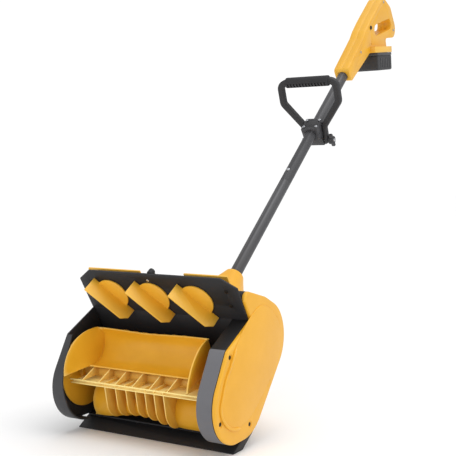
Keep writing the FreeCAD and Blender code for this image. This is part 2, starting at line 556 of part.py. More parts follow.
# --- pole: two tubes butted over an inner sleeve, with a snap button and its spring ---
SLEEVE = "(tube_radius-tube_thick)"
BUTTON_UP = "(joint_run+34)"
tube = Piece("lower_tube", POLE)
tube.add("XY", "-socket_depth", "socket_depth+joint_run", disc(0, 0, "tube_radius"))
tube.cut("XY", "-socket_depth", "socket_depth+joint_run", disc(0, 0, SLEEVE))
tube.cut("XZ", "-tube_radius-1", "tube_radius", disc(0, SCREW_RUN, "screw_radius"))
tube = Piece("upper_tube", POLE)
tube.add("XY", "joint_run", "handle_run+80-joint_run", disc(0, 0, "tube_radius"))
tube.cut("XY", "joint_run", "handle_run+80-joint_run", disc(0, 0, SLEEVE))
tube.cut("XZ", "-tube_radius-1", "tube_radius", disc(0, BUTTON_UP, "4.05"))
sleeve = Piece("joint_sleeve", POLE)
sleeve.add("XY", "joint_run-tube_overlap", "2*tube_overlap", disc(0, 0, SLEEVE))
sleeve.cut("XY", "joint_run-tube_overlap", "2*tube_overlap", disc(0, 0, f"{SLEEVE}-1.5"))
sleeve.cut("XZ", "-tube_radius-1", "tube_radius", disc(0, BUTTON_UP, "4.05"))
button = Piece("snap_button", POLE)
button.add("XZ", "-tube_radius-2.5", "5.6", disc(0, BUTTON_UP, "4"))
button.cut("XZ", f"-{SLEEVE}+2", "3", disc(0, BUTTON_UP, "2.5"))
socket_screw = Piece("socket_screw", POLE)
socket_screw.add("XZ", "-tube_radius-4", "4+tube_thick+1", disc(0, SCREW_RUN, "screw_radius"))
socket_screw.add("XZ", "-tube_radius-12", "8", disc(0, SCREW_RUN, "head_radius"))
cable = Piece("power_cable", POLE)
cable.add("XY", "14-socket_depth", "handle_run+96-14+socket_depth", disc(0, 0, "cable_radius"))
plug = Piece("cable_connector", POLE)
plug.add("XY", "-socket_depth-16", "30", disc(0, 0, "8"))

# --- front handle: a D loop that leans on a bolt under a split clamp, locked by a knob ---
CLAMP = "(tube_radius+clamp_wall)"
BOLT = "(tube_radius+screw_radius+1.5)"
CLAMP_LOW = "(clamp_run-clamp_length/2)"
CLAMP_SPOTS = [(x, z) for x in (BOLT, f"(-{BOLT})") for z in ("clamp_run+13", "clamp_run-13")]
PIVOT = f"({CLAMP}+bolt_drop/2)"
LEG = f"({BOLT}+5)"
KNOB = f"({LEG}+leg_width+0.5)"
for side, low, high in (("upper", f"-{CLAMP}", "-0.4"), ("lower", "0.4", CLAMP)):
    half = Piece("clamp_" + side, POLE)
    half.add("XY", CLAMP_LOW, "clamp_length", box_loop(f"-{BOLT}-4.5", low, f"{BOLT}+4.5", high))
    if side == "lower":
        half.add("YZ", f"-{BOLT}-4.5", f"2*{BOLT}+9", corners(
            (f"{CLAMP}-1", "clamp_run-11"), (f"{PIVOT}+9", "clamp_run-8"),
            (f"{PIVOT}+9", "clamp_run+8"), (f"{CLAMP}-1", "clamp_run+11")))
        half.cut("YZ", f"-{LEG}", f"2*{LEG}", disc(PIVOT, "clamp_run", "bolt_radius"))
    half.cut("XY", CLAMP_LOW, "clamp_length", disc(0, 0, "tube_radius+fit_gap"))
    half.cut("XZ", f"-{CLAMP}", f"2*{CLAMP}", *[disc(*spot, "screw_radius")
                                                for spot in CLAMP_SPOTS])
clamp_screws = Piece("clamp_screws", POLE)
clamp_screws.add("XZ", f"-{CLAMP}", f"2*{CLAMP}-1",
                 *[disc(*spot, "screw_radius") for spot in CLAMP_SPOTS])
clamp_screws.add("XZ", f"-{CLAMP}-head_height", "head_height",
                 *[disc(*spot, "head_radius") for spot in CLAMP_SPOTS])
HEX = [(f"{PIVOT}+7.5*cos({turn})", f"clamp_run+7.5*sin({turn})") for turn in range(0, 360, 60)]
bolt = Piece("clamp_bolt", POLE)
bolt.add("YZ", f"-{LEG}-leg_width-3", f"2*{LEG}+2*leg_width+18",
         disc(PIVOT, "clamp_run", "bolt_radius"))
bolt.add("YZ", f"-{LEG}-leg_width-5", "4.5", corners(*HEX))
knob = Piece("clamp_knob", POLE)
knob.add("YZ", KNOB, "13", disc(PIVOT, "clamp_run", "10"))
knob.add("YZ", f"{KNOB}+3", "9", slot_loop(f"{PIVOT}-14", "clamp_run", f"{PIVOT}+14",
                                           "clamp_run", "4"))
knob.cut("YZ", KNOB, "13", disc(PIVOT, "clamp_run", "bolt_radius+fit_gap"))
LOOP_FRAME = ("0", f"pole_y+clamp_run*cos(pole_angle)+{PIVOT}*sin(pole_angle)",
              f"pole_z+clamp_run*sin(pole_angle)-{PIVOT}*cos(pole_angle)",
              (1, 0, 0), "pole_angle-loop_lean")
BAR = f"(loop_rise+{PIVOT})"


def loop_rounds(inset):
    """The front handle's shoulders and top corners, right side then left side."""
    right = [("loop_half-22", f"{BAR}-46", f"22-{inset}"),
             ("loop_half-24", f"{BAR}-16", f"24-{inset}")]
    left = [(f"-({x})", z, r) for x, z, r in reversed(right)]
    return right + left


loop = Piece("handle_loop", LOOP_FRAME)
LEG_TOP = f"({CLAMP}+{PIVOT})"
right_side, left_side = loop_rounds("0")[:2], loop_rounds("0")[2:]
loop.add("XZ", "-loop_radius", "2*loop_radius", [
    (f"-({LEG}+leg_width-9)", "0", "9"), (f"{LEG}+leg_width-9", "0", "9"),
    (f"{LEG}+leg_width+8", f"{LEG_TOP}-20", "-8"), *right_side, *left_side,
    (f"-({LEG}+leg_width+8)", f"{LEG_TOP}-20", "-8")])
loop.cut("XZ", "-loop_radius", "2*loop_radius", [
    (f"-{LEG}", "-12", "0"), (LEG, "-12", "0"), (LEG, f"{LEG_TOP}-8", "0"),
    *loop_rounds("2*loop_radius"), (f"-{LEG}", f"{LEG_TOP}-8", "0")])
loop.cut("YZ", "-loop_half", "2*loop_half", disc(0, 0, "bolt_radius+fit_gap"))
grip = Piece("handle_grip", LOOP_FRAME)
grip.add("YZ", "-grip_half", "2*grip_half", disc(0, f"{BAR}+8-loop_radius", "grip_radius"))
grip.cut("YZ", "-grip_half", "2*grip_half", box_loop(
    "-loop_radius", f"{BAR}+8-2*loop_radius", "loop_radius", f"{BAR}+8"))

# --- rear handle: two shells round the pole's end, a finger opening and a battery foot ---
FOOT_TURN = "(pole_angle-battery_tilt)"


def foot_point(along, above):
    """A point by the foot's underside: along it from its front, above it into the handle."""
    return (f"foot_drop+({along})*sin({FOOT_TURN})-({above})*cos({FOOT_TURN})",
            f"foot_run+({along})*cos({FOOT_TURN})+({above})*sin({FOOT_TURN})")


def handle_outline(inset="0"):
    """The side view of the rear handle: barrel, foot, waist, tail and grip."""
    return [("-12", "8", f"8-{inset}"), ("10", "8", f"8-{inset}"),
            (*foot_point("3", "-1"), f"-1-{inset}"),
            (*foot_point("foot_length-9", "9"), f"9-{inset}"),
            ("foot_drop+46", "foot_run+134", f"-8-{inset}"),
            ("foot_drop+40", "foot_run+192", f"26-{inset}"),
            ("foot_drop-4", "foot_run+186", f"31-{inset}"),
            ("foot_drop-37", "foot_run+170", f"27-{inset}"),
            ("foot_drop-37", "foot_run+66", f"26-{inset}"),
            ("foot_drop-40", "foot_run+20", f"20-{inset}"),
            ("foot_drop-72", "foot_run-14", f"-18-{inset}")]


def finger_slot(outset="0"):
    return slot_loop("foot_drop-20", "foot_run+84", "foot_drop+18", "foot_run+178",
                     f"15+{outset}")


HANDLE_SPOTS = [("-7", "100"), ("foot_drop-52", "foot_run+178"), ("foot_drop+50", "foot_run+198"),
                foot_point("18", "24")]
LOCK_AT = ("foot_drop-48", "foot_run+50")
for side, start in (("left", "-shell_half"), ("right", "0")):
    shell = Piece("handle_shell_" + side, HANDLE)
    shell.add("YZ", start, "shell_half", handle_outline())
    shell.add("YZ", "-foot_half" if side == "left" else "0", "foot_half", corners(
        foot_point("6", "0"), foot_point("foot_length-2", "0"),
        foot_point("foot_length-2", "16"), foot_point("6", "16")))
    shell.cut("YZ", "wall-shell_half" if side == "left" else "0", "shell_half-wall",
              [("-10", "100", "8"), ("8", "100", "6"), *handle_outline("wall")[5:9],
               ("foot_drop-46", "foot_run+28", "0")], finger_slot("wall"))
    shell.add("YZ", start, "shell_half", *[disc(*spot, "4.2") for spot in HANDLE_SPOTS[1:3]])
    shell.cut("YZ", start, "shell_half", *[disc(*spot, "screw_radius") for spot in HANDLE_SPOTS])
    shell.cut("YZ", start, "shell_half", finger_slot())
    shell.cut("XY", "-1", "82", disc(0, 0, "tube_radius"))
    shell.cut("XY", "80", "30", disc(0, 0, "cable_radius+1"))
    shell.cut("YZ", "-rail_half-0.3", "2*rail_half+0.6", corners(
        foot_point("battery_start-2", "-1"), foot_point("foot_length+20", "-1"),
        foot_point("foot_length+20", "rail_height+0.3"),
        foot_point("battery_start-2", "rail_height+0.3")))
    shell.cut("YZ", "-6.6", "13.2", [
        ("foot_drop-44", "foot_run+86", "6.5"), ("foot_drop-29", "foot_run+88", "6.5"),
        ("foot_drop-20", "foot_run+120", "7"), ("foot_drop-35", "foot_run+127", "7")])
    shell.cut("YZ", "-14", "28", corners(
        foot_point("battery_start-12", "1.5"), foot_point("battery_start", "1.5"),
        foot_point("battery_start", "8"), foot_point("battery_start-12", "8")))
    if side == "right":
        shell.cut("YZ", "shell_half-wall", "wall", disc(*LOCK_AT, "5+fit_gap"))
        shell.cut("YZ", "shell_half-wall-8", "8", disc(*LOCK_AT, "7.3"))
handle_screws = Piece("handle_screws", HANDLE)
handle_screws.add("YZ", "4-shell_half", "2*shell_half-4", *[disc(*spot, "screw_radius")
                                                            for spot in HANDLE_SPOTS])
handle_screws.add("YZ", "shell_half", "head_height-1", *[disc(*spot, "head_radius")
                                                         for spot in HANDLE_SPOTS])
trigger = Piece("trigger", HANDLE)
trigger.add("YZ", "-6", "12", [
    ("foot_drop-44", "foot_run+88", "5"), ("foot_drop-29", "foot_run+90", "5"),
    ("foot_drop-20", "foot_run+116", "5"), ("foot_drop-35", "foot_run+122", "5")])
trigger.cut("YZ", "-6", "12", disc("foot_drop-44", "foot_run+88", "2.05"))
trigger_pin = Piece("trigger_pin", HANDLE)
trigger_pin.add("YZ", "wall-shell_half", "2*(shell_half-wall)",
                disc("foot_drop-44", "foot_run+88", "2"))
lock = Piece("lock_button", HANDLE)
lock.add("YZ", "shell_half-wall-1", "wall+3.5", disc(*LOCK_AT, "5"))
lock.add("YZ", "shell_half-wall-2.5", "2", disc(*LOCK_AT, "7"))
switch = Piece("trigger_switch", HANDLE)
switch.add("YZ", "-8", "16", box_loop("foot_drop-56", "foot_run+140", "foot_drop-26",
                                      "foot_run+164"))
board = Piece("control_board", HANDLE)
board.add("YZ", "-12", "24", box_loop("foot_drop-54", "foot_run+168", "foot_drop-22",
                                      "foot_run+170"))

# --- battery: a sliding pack under the foot, with cells, contacts and a release button ---
PACK_END = "(battery_start+battery_length)"
pack = Piece("battery_case", FOOT)
pack.add("YZ", "-foot_half", "2*foot_half", box_loop(
    "battery_start", "-battery_height", PACK_END, "-8", "6"))
pack.add("YZ", "-foot_half", "2*foot_half", box_loop("battery_start", "-20", PACK_END, "-8"))
pack.cut("YZ", "2.5-foot_half", "2*foot_half-5", box_loop(
    "battery_start+2.5", "2.5-battery_height", f"{PACK_END}-2.5", "0", "4"))
lid = Piece("battery_lid", FOOT)
lid.add("YZ", "-foot_half", "2*foot_half", box_loop("battery_start", "-8", PACK_END, "-0.5"))
lid.add("YZ", "-rail_half", "2*rail_half", box_loop(
    "battery_start+0.5", "-1", PACK_END, "rail_height-0.2"))
lid.cut("XY", "2.4", "4.4", *[box_loop(f"{x}-1.4", "battery_start-1", f"{x}+1.4",
                                       "battery_start+18") for x in ("-9", "0", "9")])
lid.cut("XZ", f"{PACK_END}-latch_pocket", "latch_pocket+1", box_loop("-9.3", "-9", "9.3", "-2.5"))
pack.cut("XZ", f"{PACK_END}-latch_pocket", "latch_pocket+1", box_loop("-9.3", "-17", "9.3", "-7"))
cells = Piece("battery_cells", FOOT)
cells.add("YZ", "-32", "64", *[disc(f"battery_start+12+{step}*cell_pitch", f"-{drop}", "9.2")
                               for step in range(5) for drop in ("17.5", "36.1")])
latch = Piece("battery_latch", FOOT)
latch.add("XZ", f"{PACK_END}-5", "7", box_loop("-8.9", "-15", "8.9", "-3.2", "2"))
blades = Piece("battery_contacts", FOOT)
blades.add("YZ", "-14", "28", box_loop("battery_start-12", "1.5", "battery_start-2.5", "8"))
blades.add("XY", "3.2", "2.6", *[box_loop(f"{x}-0.5", "battery_start-3", f"{x}+0.5",
                                          "battery_start+14") for x in ("-9", "0", "9")])
# --- check every object, then write one file for each node ---
doc.recompute()
for thing in doc.Objects:
    if "Invalid" in thing.State or "Error" in thing.State:
        raise SystemExit(f"{thing.Name} ({thing.Label}) did not compute: {thing.State}")
for part in PARTS:
    if part.Shape.isNull() or not part.Shape.isValid() or part.Shape.Volume < 1:
        raise SystemExit(f"{part.Label} has no valid shape")
os.makedirs("parts", exist_ok=True)
for part in PARTS:
    part.Shape.exportStep(f"parts/{part.Label}.step")
    box = part.Shape.BoundBox
    print(f"{part.Label}: {len(part.Shape.Solids)} solid(s), {part.Shape.Volume / 1000:.1f} cm3, "
          f"x {box.XMin:.1f}..{box.XMax:.1f} y {box.YMin:.1f}..{box.YMax:.1f} "
          f"z {box.ZMin:.1f}..{box.ZMax:.1f}")
print(len(PARTS), "nodes")
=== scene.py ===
# %% [markdown]
# A cordless snow shovel: a yellow rotor scoops snow into a black housing, and throws it
# past three steerable vanes on a leaning plate. A long pole carries a loop handle and, at
# its end, a trigger handle with a slide-in battery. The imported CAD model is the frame, and
# nothing here moves or resizes it. Every visible piece stands where its CAD node does,
# either as a crisp copy of that node or as a new mesh.

# %% Load the frame
import bpy
import json
import math
from mathutils import Matrix, Vector


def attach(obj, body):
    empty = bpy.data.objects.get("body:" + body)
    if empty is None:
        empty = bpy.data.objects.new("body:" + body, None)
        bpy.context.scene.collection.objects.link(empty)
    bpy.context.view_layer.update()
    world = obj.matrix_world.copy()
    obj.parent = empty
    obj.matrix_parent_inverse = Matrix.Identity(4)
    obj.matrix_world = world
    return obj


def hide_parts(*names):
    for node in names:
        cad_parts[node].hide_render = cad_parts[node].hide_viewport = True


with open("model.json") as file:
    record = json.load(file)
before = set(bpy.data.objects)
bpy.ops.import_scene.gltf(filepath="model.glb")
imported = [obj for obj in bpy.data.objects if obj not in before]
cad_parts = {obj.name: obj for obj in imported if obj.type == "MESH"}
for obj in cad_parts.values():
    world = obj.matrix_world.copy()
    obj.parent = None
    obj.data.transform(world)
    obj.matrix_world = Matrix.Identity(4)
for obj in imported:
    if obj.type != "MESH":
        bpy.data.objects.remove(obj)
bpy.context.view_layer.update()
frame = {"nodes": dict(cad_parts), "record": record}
nodes = frame["nodes"]

# %% [markdown]
# The shovel has five natural directions: the ground, the leaning plate, the pole, the loop
# handle and the battery foot. Each piece could be drawn straight into its slanted place,
# but its numbers would mean nothing. So it is shaped in millimetres, lying flat in one of
# these directions, and then stands in the model by a turn about X and an origin.

# %% Frames that the pieces stand in
AXIS_Y, AXIS_Z = 16.0, 108.0            # rotor axis
SCROLL, WALL = 88.0, 3.0                # inner radius of the housing, and its wall
LEAN, POLE_UP = math.radians(33), math.radians(39.6)
POLE_Y, POLE_Z = 295.0, 268.0           # where the pole leaves its socket
CLAMP_RUN, HANDLE_RUN = 498.0, 728.0    # along the pole to the clamp and the rear handle
BOLT_DROP = 31.2                        # the clamp bolt, below the pole's axis
LOOP_LEAN = math.radians(22)
FOOT_RUN, FOOT_DROP, FOOT_TILT = 150.0, 28.0, math.radians(8)


def stand(angle, y, z):
    """A frame turned about X by an angle, with its origin at y, z in millimetres."""
    place = Matrix.Translation((0, y / 1000, z / 1000)) @ Matrix.Rotation(angle, 4, "X")
    return place @ Matrix.Scale(0.001, 4)


def down_pole(run, drop):
    """The y and z of a point along the pole and below its axis."""
    return (POLE_Y + run * math.cos(POLE_UP) + drop * math.sin(POLE_UP),
            POLE_Z + run * math.sin(POLE_UP) - drop * math.cos(POLE_UP))


QUARTER = math.radians(90)
GROUND = stand(0, 0, 0)
ROTOR = stand(0, AXIS_Y, AXIS_Z)
PLATE = stand(QUARTER + LEAN, AXIS_Y, AXIS_Z)
POLE = stand(POLE_UP - QUARTER, POLE_Y, POLE_Z)
HANDLE = stand(POLE_UP - QUARTER, *down_pole(HANDLE_RUN, 0))
LOOP = stand(LOOP_LEAN, *down_pole(CLAMP_RUN, BOLT_DROP))
FOOT = stand(FOOT_TILT, *down_pole(HANDLE_RUN + FOOT_RUN, FOOT_DROP))
print("the rear handle starts at", HANDLE.translation)

# %% [markdown]
# Most parts of a moulded tool are plates and blocks whose corners are rounds. An outline
# could be a long list of points, but then nobody could change a corner. So it is a short
# list of rounds, and a helper draws the lines that touch them and the arcs between.

# %% Outline from rounds
def tangents(first, second):
    """The line that touches two rounds (x, y, r) on their right; r below 0 is a hollow."""
    dx, dy = second[0] - first[0], second[1] - first[1]
    turn = math.atan2(dy, dx) - math.acos((first[2] - second[2]) / math.hypot(dx, dy))
    nx, ny = math.cos(turn), math.sin(turn)
    return ((first[0] + first[2] * nx, first[1] + first[2] * ny),
            (second[0] + second[2] * nx, second[1] + second[2] * ny))


def outline(rounds, step=2.5, inset=0.0):
    """Points round a closed outline of rounds; step is the arc's spacing in mm. An inset
    draws the outline in, or out if below 0, and keeps the number of points."""
    steps = [abs(r) for _, _, r in rounds]
    rounds = [(x, y, r - inset if r else 0) for x, y, r in rounds]
    if len(rounds) == 1:
        x, y, r = rounds[0]
        count = max(16, int(2 * math.pi * steps[0] / step))
        return [(x + r * math.cos(2 * math.pi * i / count),
                 y + r * math.sin(2 * math.pi * i / count)) for i in range(count)]
    count = len(rounds)
    ends = [tangents(rounds[i], rounds[(i + 1) % count]) for i in range(count)]
    points = []
    for i, (x, y, r) in enumerate(rounds):
        arrive, leave = ends[i - 1][1], ends[i][0]
        if r == 0:
            points.append((x, y))
            continue
        start = math.atan2(arrive[1] - y, arrive[0] - x)
        sweep = math.atan2(leave[1] - y, leave[0] - x) - start
        if r > 0 and sweep < 0:
            sweep += 2 * math.pi
        if r < 0 and sweep > 0:
            sweep -= 2 * math.pi
        pieces = max(2, int(abs(sweep * steps[i]) / step), int(abs(sweep) / 0.35))
        points += [(x + abs(r) * math.cos(start + sweep * k / pieces),
                    y + abs(r) * math.sin(start + sweep * k / pieces))
                   for k in range(pieces + 1)]
    return points


print("a disc has", len(outline([(0, 0, 10)])), "points")

# %% [markdown]
# An operator acts on all that is selected, and a loaded frame leaves its nodes selected. A
# context override would also work, but a plain selection is what a hand does in the window.
# So each step starts with nothing selected, or with one piece selected and active.

# %% Select one piece alone
def clear():
    """Nothing selected, object mode."""
    if bpy.context.object and bpy.context.object.mode != "OBJECT":
        bpy.ops.object.mode_set(mode="OBJECT")
    bpy.ops.object.select_all(action="DESELECT")


def take(piece):
    """Select one piece alone and make it the active one."""
    clear()
    piece.select_set(True)
    bpy.context.view_layer.objects.active = piece


clear()
print(len(bpy.context.selected_objects), "objects are selected")

# %% [markdown]
# Holes, rooms and slots are cut with another piece, as a drill or a cutter would. Hand-made
# loops of faces would be cleaner, but much slower to change. The exact solver copes with
# faces that lie close together, and a cut that would empty the piece is left out.

# %% Cut with another piece
def subtract(piece, cutter):
    """Cut one piece with another, and remove the second."""
    before = piece.data.copy()
    tool = piece.modifiers.new("cut", "BOOLEAN")
    tool.operation = "DIFFERENCE"
    tool.object = cutter
    tool.solver = "EXACT"
    take(piece)
    bpy.ops.object.modifier_apply(modifier=tool.name)
    if len(piece.data.polygons) < 0.5 * len(before.polygons):
        print("a cut would empty", piece.name, "and is left out:", cutter.name)
        piece.data = before
    bpy.data.objects.remove(cutter)


# %% [markdown]
# A slab is a plate with a rounded outline and a small radius on each rim, as a moulding or
# a stamping has. The circle tool gives a ring with the right number of points. They are
# laid on the outline and extruded, and the bevel tool rounds only the rims, which are the
# edges between a flat face and a side.

# %% Slab with soft rims
SPREAD = {"YZ": (1, 2, 0), "XY": (0, 1, 2), "XZ": (0, 2, 1)}


def spread(plane, u, v, w):
    """A point from two coordinates in a plane and one across it."""
    spot = [0, 0, 0]
    for axis, amount in zip(SPREAD[plane], (u, v, w)):
        spot[axis] = amount
    return Vector(spot)


def pick_edges(piece, wanted):
    """Select the edges whose two face normals pass a test."""
    mesh, sides = piece.data, {}
    for face in mesh.polygons:
        face.select = False
        for key in face.edge_keys:
            sides.setdefault(key, []).append(face.normal)
    for vertex in mesh.vertices:
        vertex.select = False
    for edge in mesh.edges:
        pair = sides.get(edge.key, [])
        edge.select = len(pair) == 2 and wanted(*pair)
    take(piece)
    bpy.context.tool_settings.mesh_select_mode = (False, True, False)
    bpy.ops.object.mode_set(mode="EDIT")


def slab(name, rounds, low, high, rim=0.8, steps=2, holes=(), plane="YZ", step=2.5):
    """A plate with a rounded outline, from low to high across its plane, with soft rims."""
    points = outline(rounds, step)
    across = spread(plane, 0, 0, 1)

    def is_rim(first, second):
        side, flat = sorted((abs(first.dot(across)), abs(second.dot(across))))
        return flat > 0.9 and side < 0.3

    clear()
    bpy.ops.mesh.primitive_circle_add(vertices=len(points), fill_type="NGON")
    piece = bpy.context.active_object
    piece.name = name
    for vertex, (u, v) in zip(piece.data.vertices, points):
        vertex.co = spread(plane, u, v, low)
    bpy.ops.object.mode_set(mode="EDIT")
    bpy.ops.mesh.select_all(action="SELECT")
    bpy.ops.mesh.remove_doubles(threshold=0.0005)
    bpy.ops.mesh.extrude_region_move(
        TRANSFORM_OT_translate={"value": spread(plane, 0, 0, high - low)})
    bpy.ops.mesh.select_all(action="SELECT")
    bpy.ops.mesh.normals_make_consistent(inside=False)
    bpy.ops.object.mode_set(mode="OBJECT")
    for index, hole in enumerate(holes):
        subtract(piece, slab(f"{name}_cut_{index}", hole, low - 2, high + 2, 0, plane=plane))
    if rim:
        pick_edges(piece, is_rim)
        bpy.ops.mesh.bevel(offset=rim, segments=steps, profile=0.5, affect="EDGES",
                           clamp_overlap=False)
        bpy.ops.object.mode_set(mode="OBJECT")
    return piece


print("a slab can lie across", ", ".join(SPREAD))

# %% [markdown]
# A moulded part has flat faces with crisp shading and round ones with smooth shading. The
# smooth-by-angle operator tells them apart. A part that is moulded in one is several
# meshes joined into one object. A copy of a CAD node starts as loose triangles, so it is
# merged, and its flat faces are dissolved before the bevel, which gives clean rims.

# %% Settle, join and copy
def settle(piece, place, sharp=32):
    """Move a piece into the model by its frame, and smooth its shading under an angle."""
    piece.data.transform(place)
    piece.data.update()
    take(piece)
    bpy.ops.object.shade_smooth_by_angle(angle=math.radians(sharp))
    return piece


def welded(name, *pieces):
    """Several pieces joined into one mesh object."""
    take(pieces[0])
    for piece in pieces[1:]:
        piece.select_set(True)
    bpy.ops.object.join()
    pieces[0].name = name
    return pieces[0]


def crisp(name, node, rim=0.5, sharp=32):
    """A merged copy of a CAD node whose sharp edges get a small radius."""
    piece = bpy.data.objects.new(name, nodes[node].data.copy())
    bpy.context.scene.collection.objects.link(piece)
    piece.data.materials.clear()
    take(piece)
    bpy.ops.object.mode_set(mode="EDIT")
    bpy.ops.mesh.select_all(action="SELECT")
    bpy.ops.mesh.remove_doubles(threshold=0.00002)
    bpy.ops.mesh.dissolve_limited(angle_limit=math.radians(0.6))
    bpy.ops.object.mode_set(mode="OBJECT")
    if rim:
        tool = piece.modifiers.new("rim", "BEVEL")
        tool.width = rim / 1000
        tool.segments = 2
        tool.limit_method = "ANGLE"
        tool.angle_limit = math.radians(38)
        bpy.ops.object.modifier_apply(modifier=tool.name)
    bpy.ops.object.shade_smooth_by_angle(angle=math.radians(sharp))
    return piece


print("a copy is merged first: one tube has", len(nodes["lower_tube"].data.vertices), "points")

# %% [markdown]
# A finish is a small tree of nodes. One helper turns a hex colour to the linear values that
# a shader needs, one adds a node with its settings and links, and one starts a material.
# All patterns read Object coordinates, which stay on the piece when it moves.

# %% Colour and node helpers
def srgb(code):
    """A hex colour as linear red, green, blue and alpha."""
    parts = [int(code[i:i + 2], 16) / 255 for i in (1, 3, 5)]
    return tuple(c / 12.92 if c <= 0.04045 else ((c + 0.055) / 1.055) ** 2.4
                 for c in parts) + (1.0,)


def add(tree, kind, inputs, **settings):
    """Add one node, with its settings, its fixed values and its links."""
    made = tree.nodes.new("ShaderNode" + kind)
    for key, value in settings.items():
        setattr(made, key, value)
    for socket, value in inputs.items():
        if isinstance(value, bpy.types.NodeSocket):
            tree.links.new(value, made.inputs[socket])
        else:
            made.inputs[socket].default_value = value
    return made


def blank(name, **surface):
    """A new material, its tree, its shader and its Object coordinates."""
    finish = bpy.data.materials.new(name)
    finish.use_nodes = True
    tree = finish.node_tree
    shader = tree.nodes["Principled BSDF"]
    for socket, value in surface.items():
        shader.inputs[socket.replace("_", " ")].default_value = value
    spots = add(tree, "TexCoord", {}).outputs["Object"]
    return finish, tree, shader, spots


print("linear white is", srgb("#FFFFFF"))

# %% [markdown]
# Nearly everything in view is injection-moulded plastic. A plain colour with one roughness
# looks like clay, so three things are added: a slow drift of colour, a painted highlight that
# turns sharp corners paler, as if light caught the radius, and the grain of the mould. A real
# grain is 0.1 to 0.3 mm and would not show at this distance, so it is drawn up to ten times as
# coarse.

# %% Moulded plastic
CLOUD_SCALE = 14.0                      # the drift changes over 70 mm or so
GRAIN_HEIGHT = 0.0004                   # metres


def moulded(name, colour, drift, corner, roughness, grain_mm, grain_depth, coat=0.0):
    """Injection-moulded plastic: slow colour drift, a painted highlight on sharp corners, and a
    fine grain.
    """
    finish, tree, shader, spots = blank(name, IOR=1.5, Specular_IOR_Level=0.3, Coat_Weight=coat,
                                        Coat_Roughness=0.15)
    cloud = add(tree, "TexNoise", {"Vector": spots, "Scale": CLOUD_SCALE, "Detail": 3.0})
    base = add(tree, "ValToRGB", {"Fac": cloud.outputs["Fac"]})
    base.color_ramp.elements[0].position, base.color_ramp.elements[1].position = 0.3, 0.72
    base.color_ramp.elements[0].color = srgb(drift)
    base.color_ramp.elements[1].color = srgb(colour)
    # painted highlight: where the mesh is pointy, at sharp corners, the colour is mixed towards
    # the paler corner colour
    bend = add(tree, "NewGeometry", {}).outputs["Pointiness"]
    edge = add(tree, "MapRange", {"Value": bend, "From Min": 0.52, "From Max": 0.62})
    # a colour mix shares its inputs' names with other kinds, so they are given by place
    mixed = add(tree, "Mix", {0: edge.outputs[0], 6: base.outputs[0], 7: srgb(corner)},
                data_type="RGBA")
    tree.links.new(mixed.outputs[2], shader.inputs["Base Color"])
    grain = add(tree, "TexNoise", {"Vector": spots, "Scale": 1000 / grain_mm, "Detail": 2.0})
    rough = add(tree, "MapRange", {"Value": grain.outputs["Fac"], "From Min": 0.3,
                                   "From Max": 0.7, "To Min": roughness - 0.05,
                                   "To Max": roughness + 0.07})
    tree.links.new(rough.outputs[0], shader.inputs["Roughness"])
    bump = add(tree, "Bump", {"Height": grain.outputs["Fac"], "Strength": grain_depth,
                              "Distance": GRAIN_HEIGHT})
    tree.links.new(bump.outputs[0], shader.inputs["Normal"])
    return finish


# the third colour of each finish below is a painted highlight, mixed in on sharp corners
# ABS from a polished mould: a strong yellow with a soft gloss and hardly any grain
YELLOW = moulded("glossy_yellow_abs", "#ECAF30", "#E4A626", "#F6C75A", 0.38, 2.2, 0.06, 0.1)
# rotor nylon: a deeper yellow, with a painted highlight that makes the rims of the thin webs pale
ROTOR_YELLOW = moulded("yellow_rotor_nylon", "#E9AE2C", "#DA9E1E", "#FFE592", 0.36, 2.0,
                       0.08, 0.15)
# glass-filled nylon from a spark-eroded mould: nearly black, and matt
BLACK = moulded("black_glass_nylon", "#1B1B1D", "#171718", "#3A3A3D", 0.55, 1.6, 0.25)
# the same nylon in grey, as on a bumper and a button
GREY = moulded("grey_glass_nylon", "#6C6C70", "#626266", "#8C8C90", 0.46, 1.6, 0.25)
# charcoal nylon: a lighter black, whose coarse grain spreads the highlight
CHARCOAL = moulded("charcoal_nylon", "#353537", "#2E2E30", "#5A5A5D", 0.5, 1.8, 0.3)
# moulded soft rubber: dull, with a grain that can be felt
RUBBER = moulded("soft_grip_rubber", "#2D2D2F", "#262628", "#48484B", 0.72, 1.2, 0.5)
# cord-reinforced belt rubber: the dullest black here
BELT_RUBBER = moulded("belt_rubber", "#1C1C1D", "#151516", "#2E2E30", 0.8, 1.0, 0.5)
# sprayed and baked powder coat: dark grey, with a fine orange-peel surface
TUBE_PAINT = moulded("grey_powder_coat", "#434345", "#3C3C3E", "#5E5E61", 0.45, 0.9, 0.3)
# fibreglass board under green lacquer
BOARD = moulded("green_circuit_board", "#1F5E37", "#184B2C", "#2F7A4A", 0.35, 3.0, 0.1)
# shrink wrap round a cell: smooth, thin and shiny
CELL_WRAP = moulded("cell_shrink_wrap", "#2F7D55", "#286C49", "#56A27B", 0.3, 4.0, 0.05)
print(len(bpy.data.materials), "materials so far")

# %% [markdown]
# Screws, shafts and cranks are bare metal. Turning and drawing leave fine lines along or
# across the bar. They could come from a bump map, but small changes of shade and roughness
# already give the streaked highlight. A noise that is stretched along one way makes the lines,
# drawn about ten times as coarse as real ones, so that they show.

# %% Turned and drawn metal
def metal(name, colour, roughness, line_mm):
    """Turned or drawn metal, with fine lines across X, as a lathe leaves them."""
    finish, tree, shader, spots = blank(name, Metallic=1.0)
    lines = add(tree, "Mapping", {"Vector": spots, "Scale": (1000 / line_mm, 60, 60)})
    grain = add(tree, "TexNoise", {"Vector": lines.outputs[0], "Scale": 1.0, "Detail": 2.0})
    shade = add(tree, "ValToRGB", {"Fac": grain.outputs["Fac"]})
    shade.color_ramp.elements[0].color = srgb(colour)
    shade.color_ramp.elements[1].color = tuple(min(1, 1.25 * c) for c in srgb(colour))
    tree.links.new(shade.outputs[0], shader.inputs["Base Color"])
    rough = add(tree, "MapRange", {"Value": grain.outputs["Fac"], "To Min": roughness - 0.08,
                                   "To Max": roughness + 0.12})
    tree.links.new(rough.outputs[0], shader.inputs["Roughness"])
    return finish


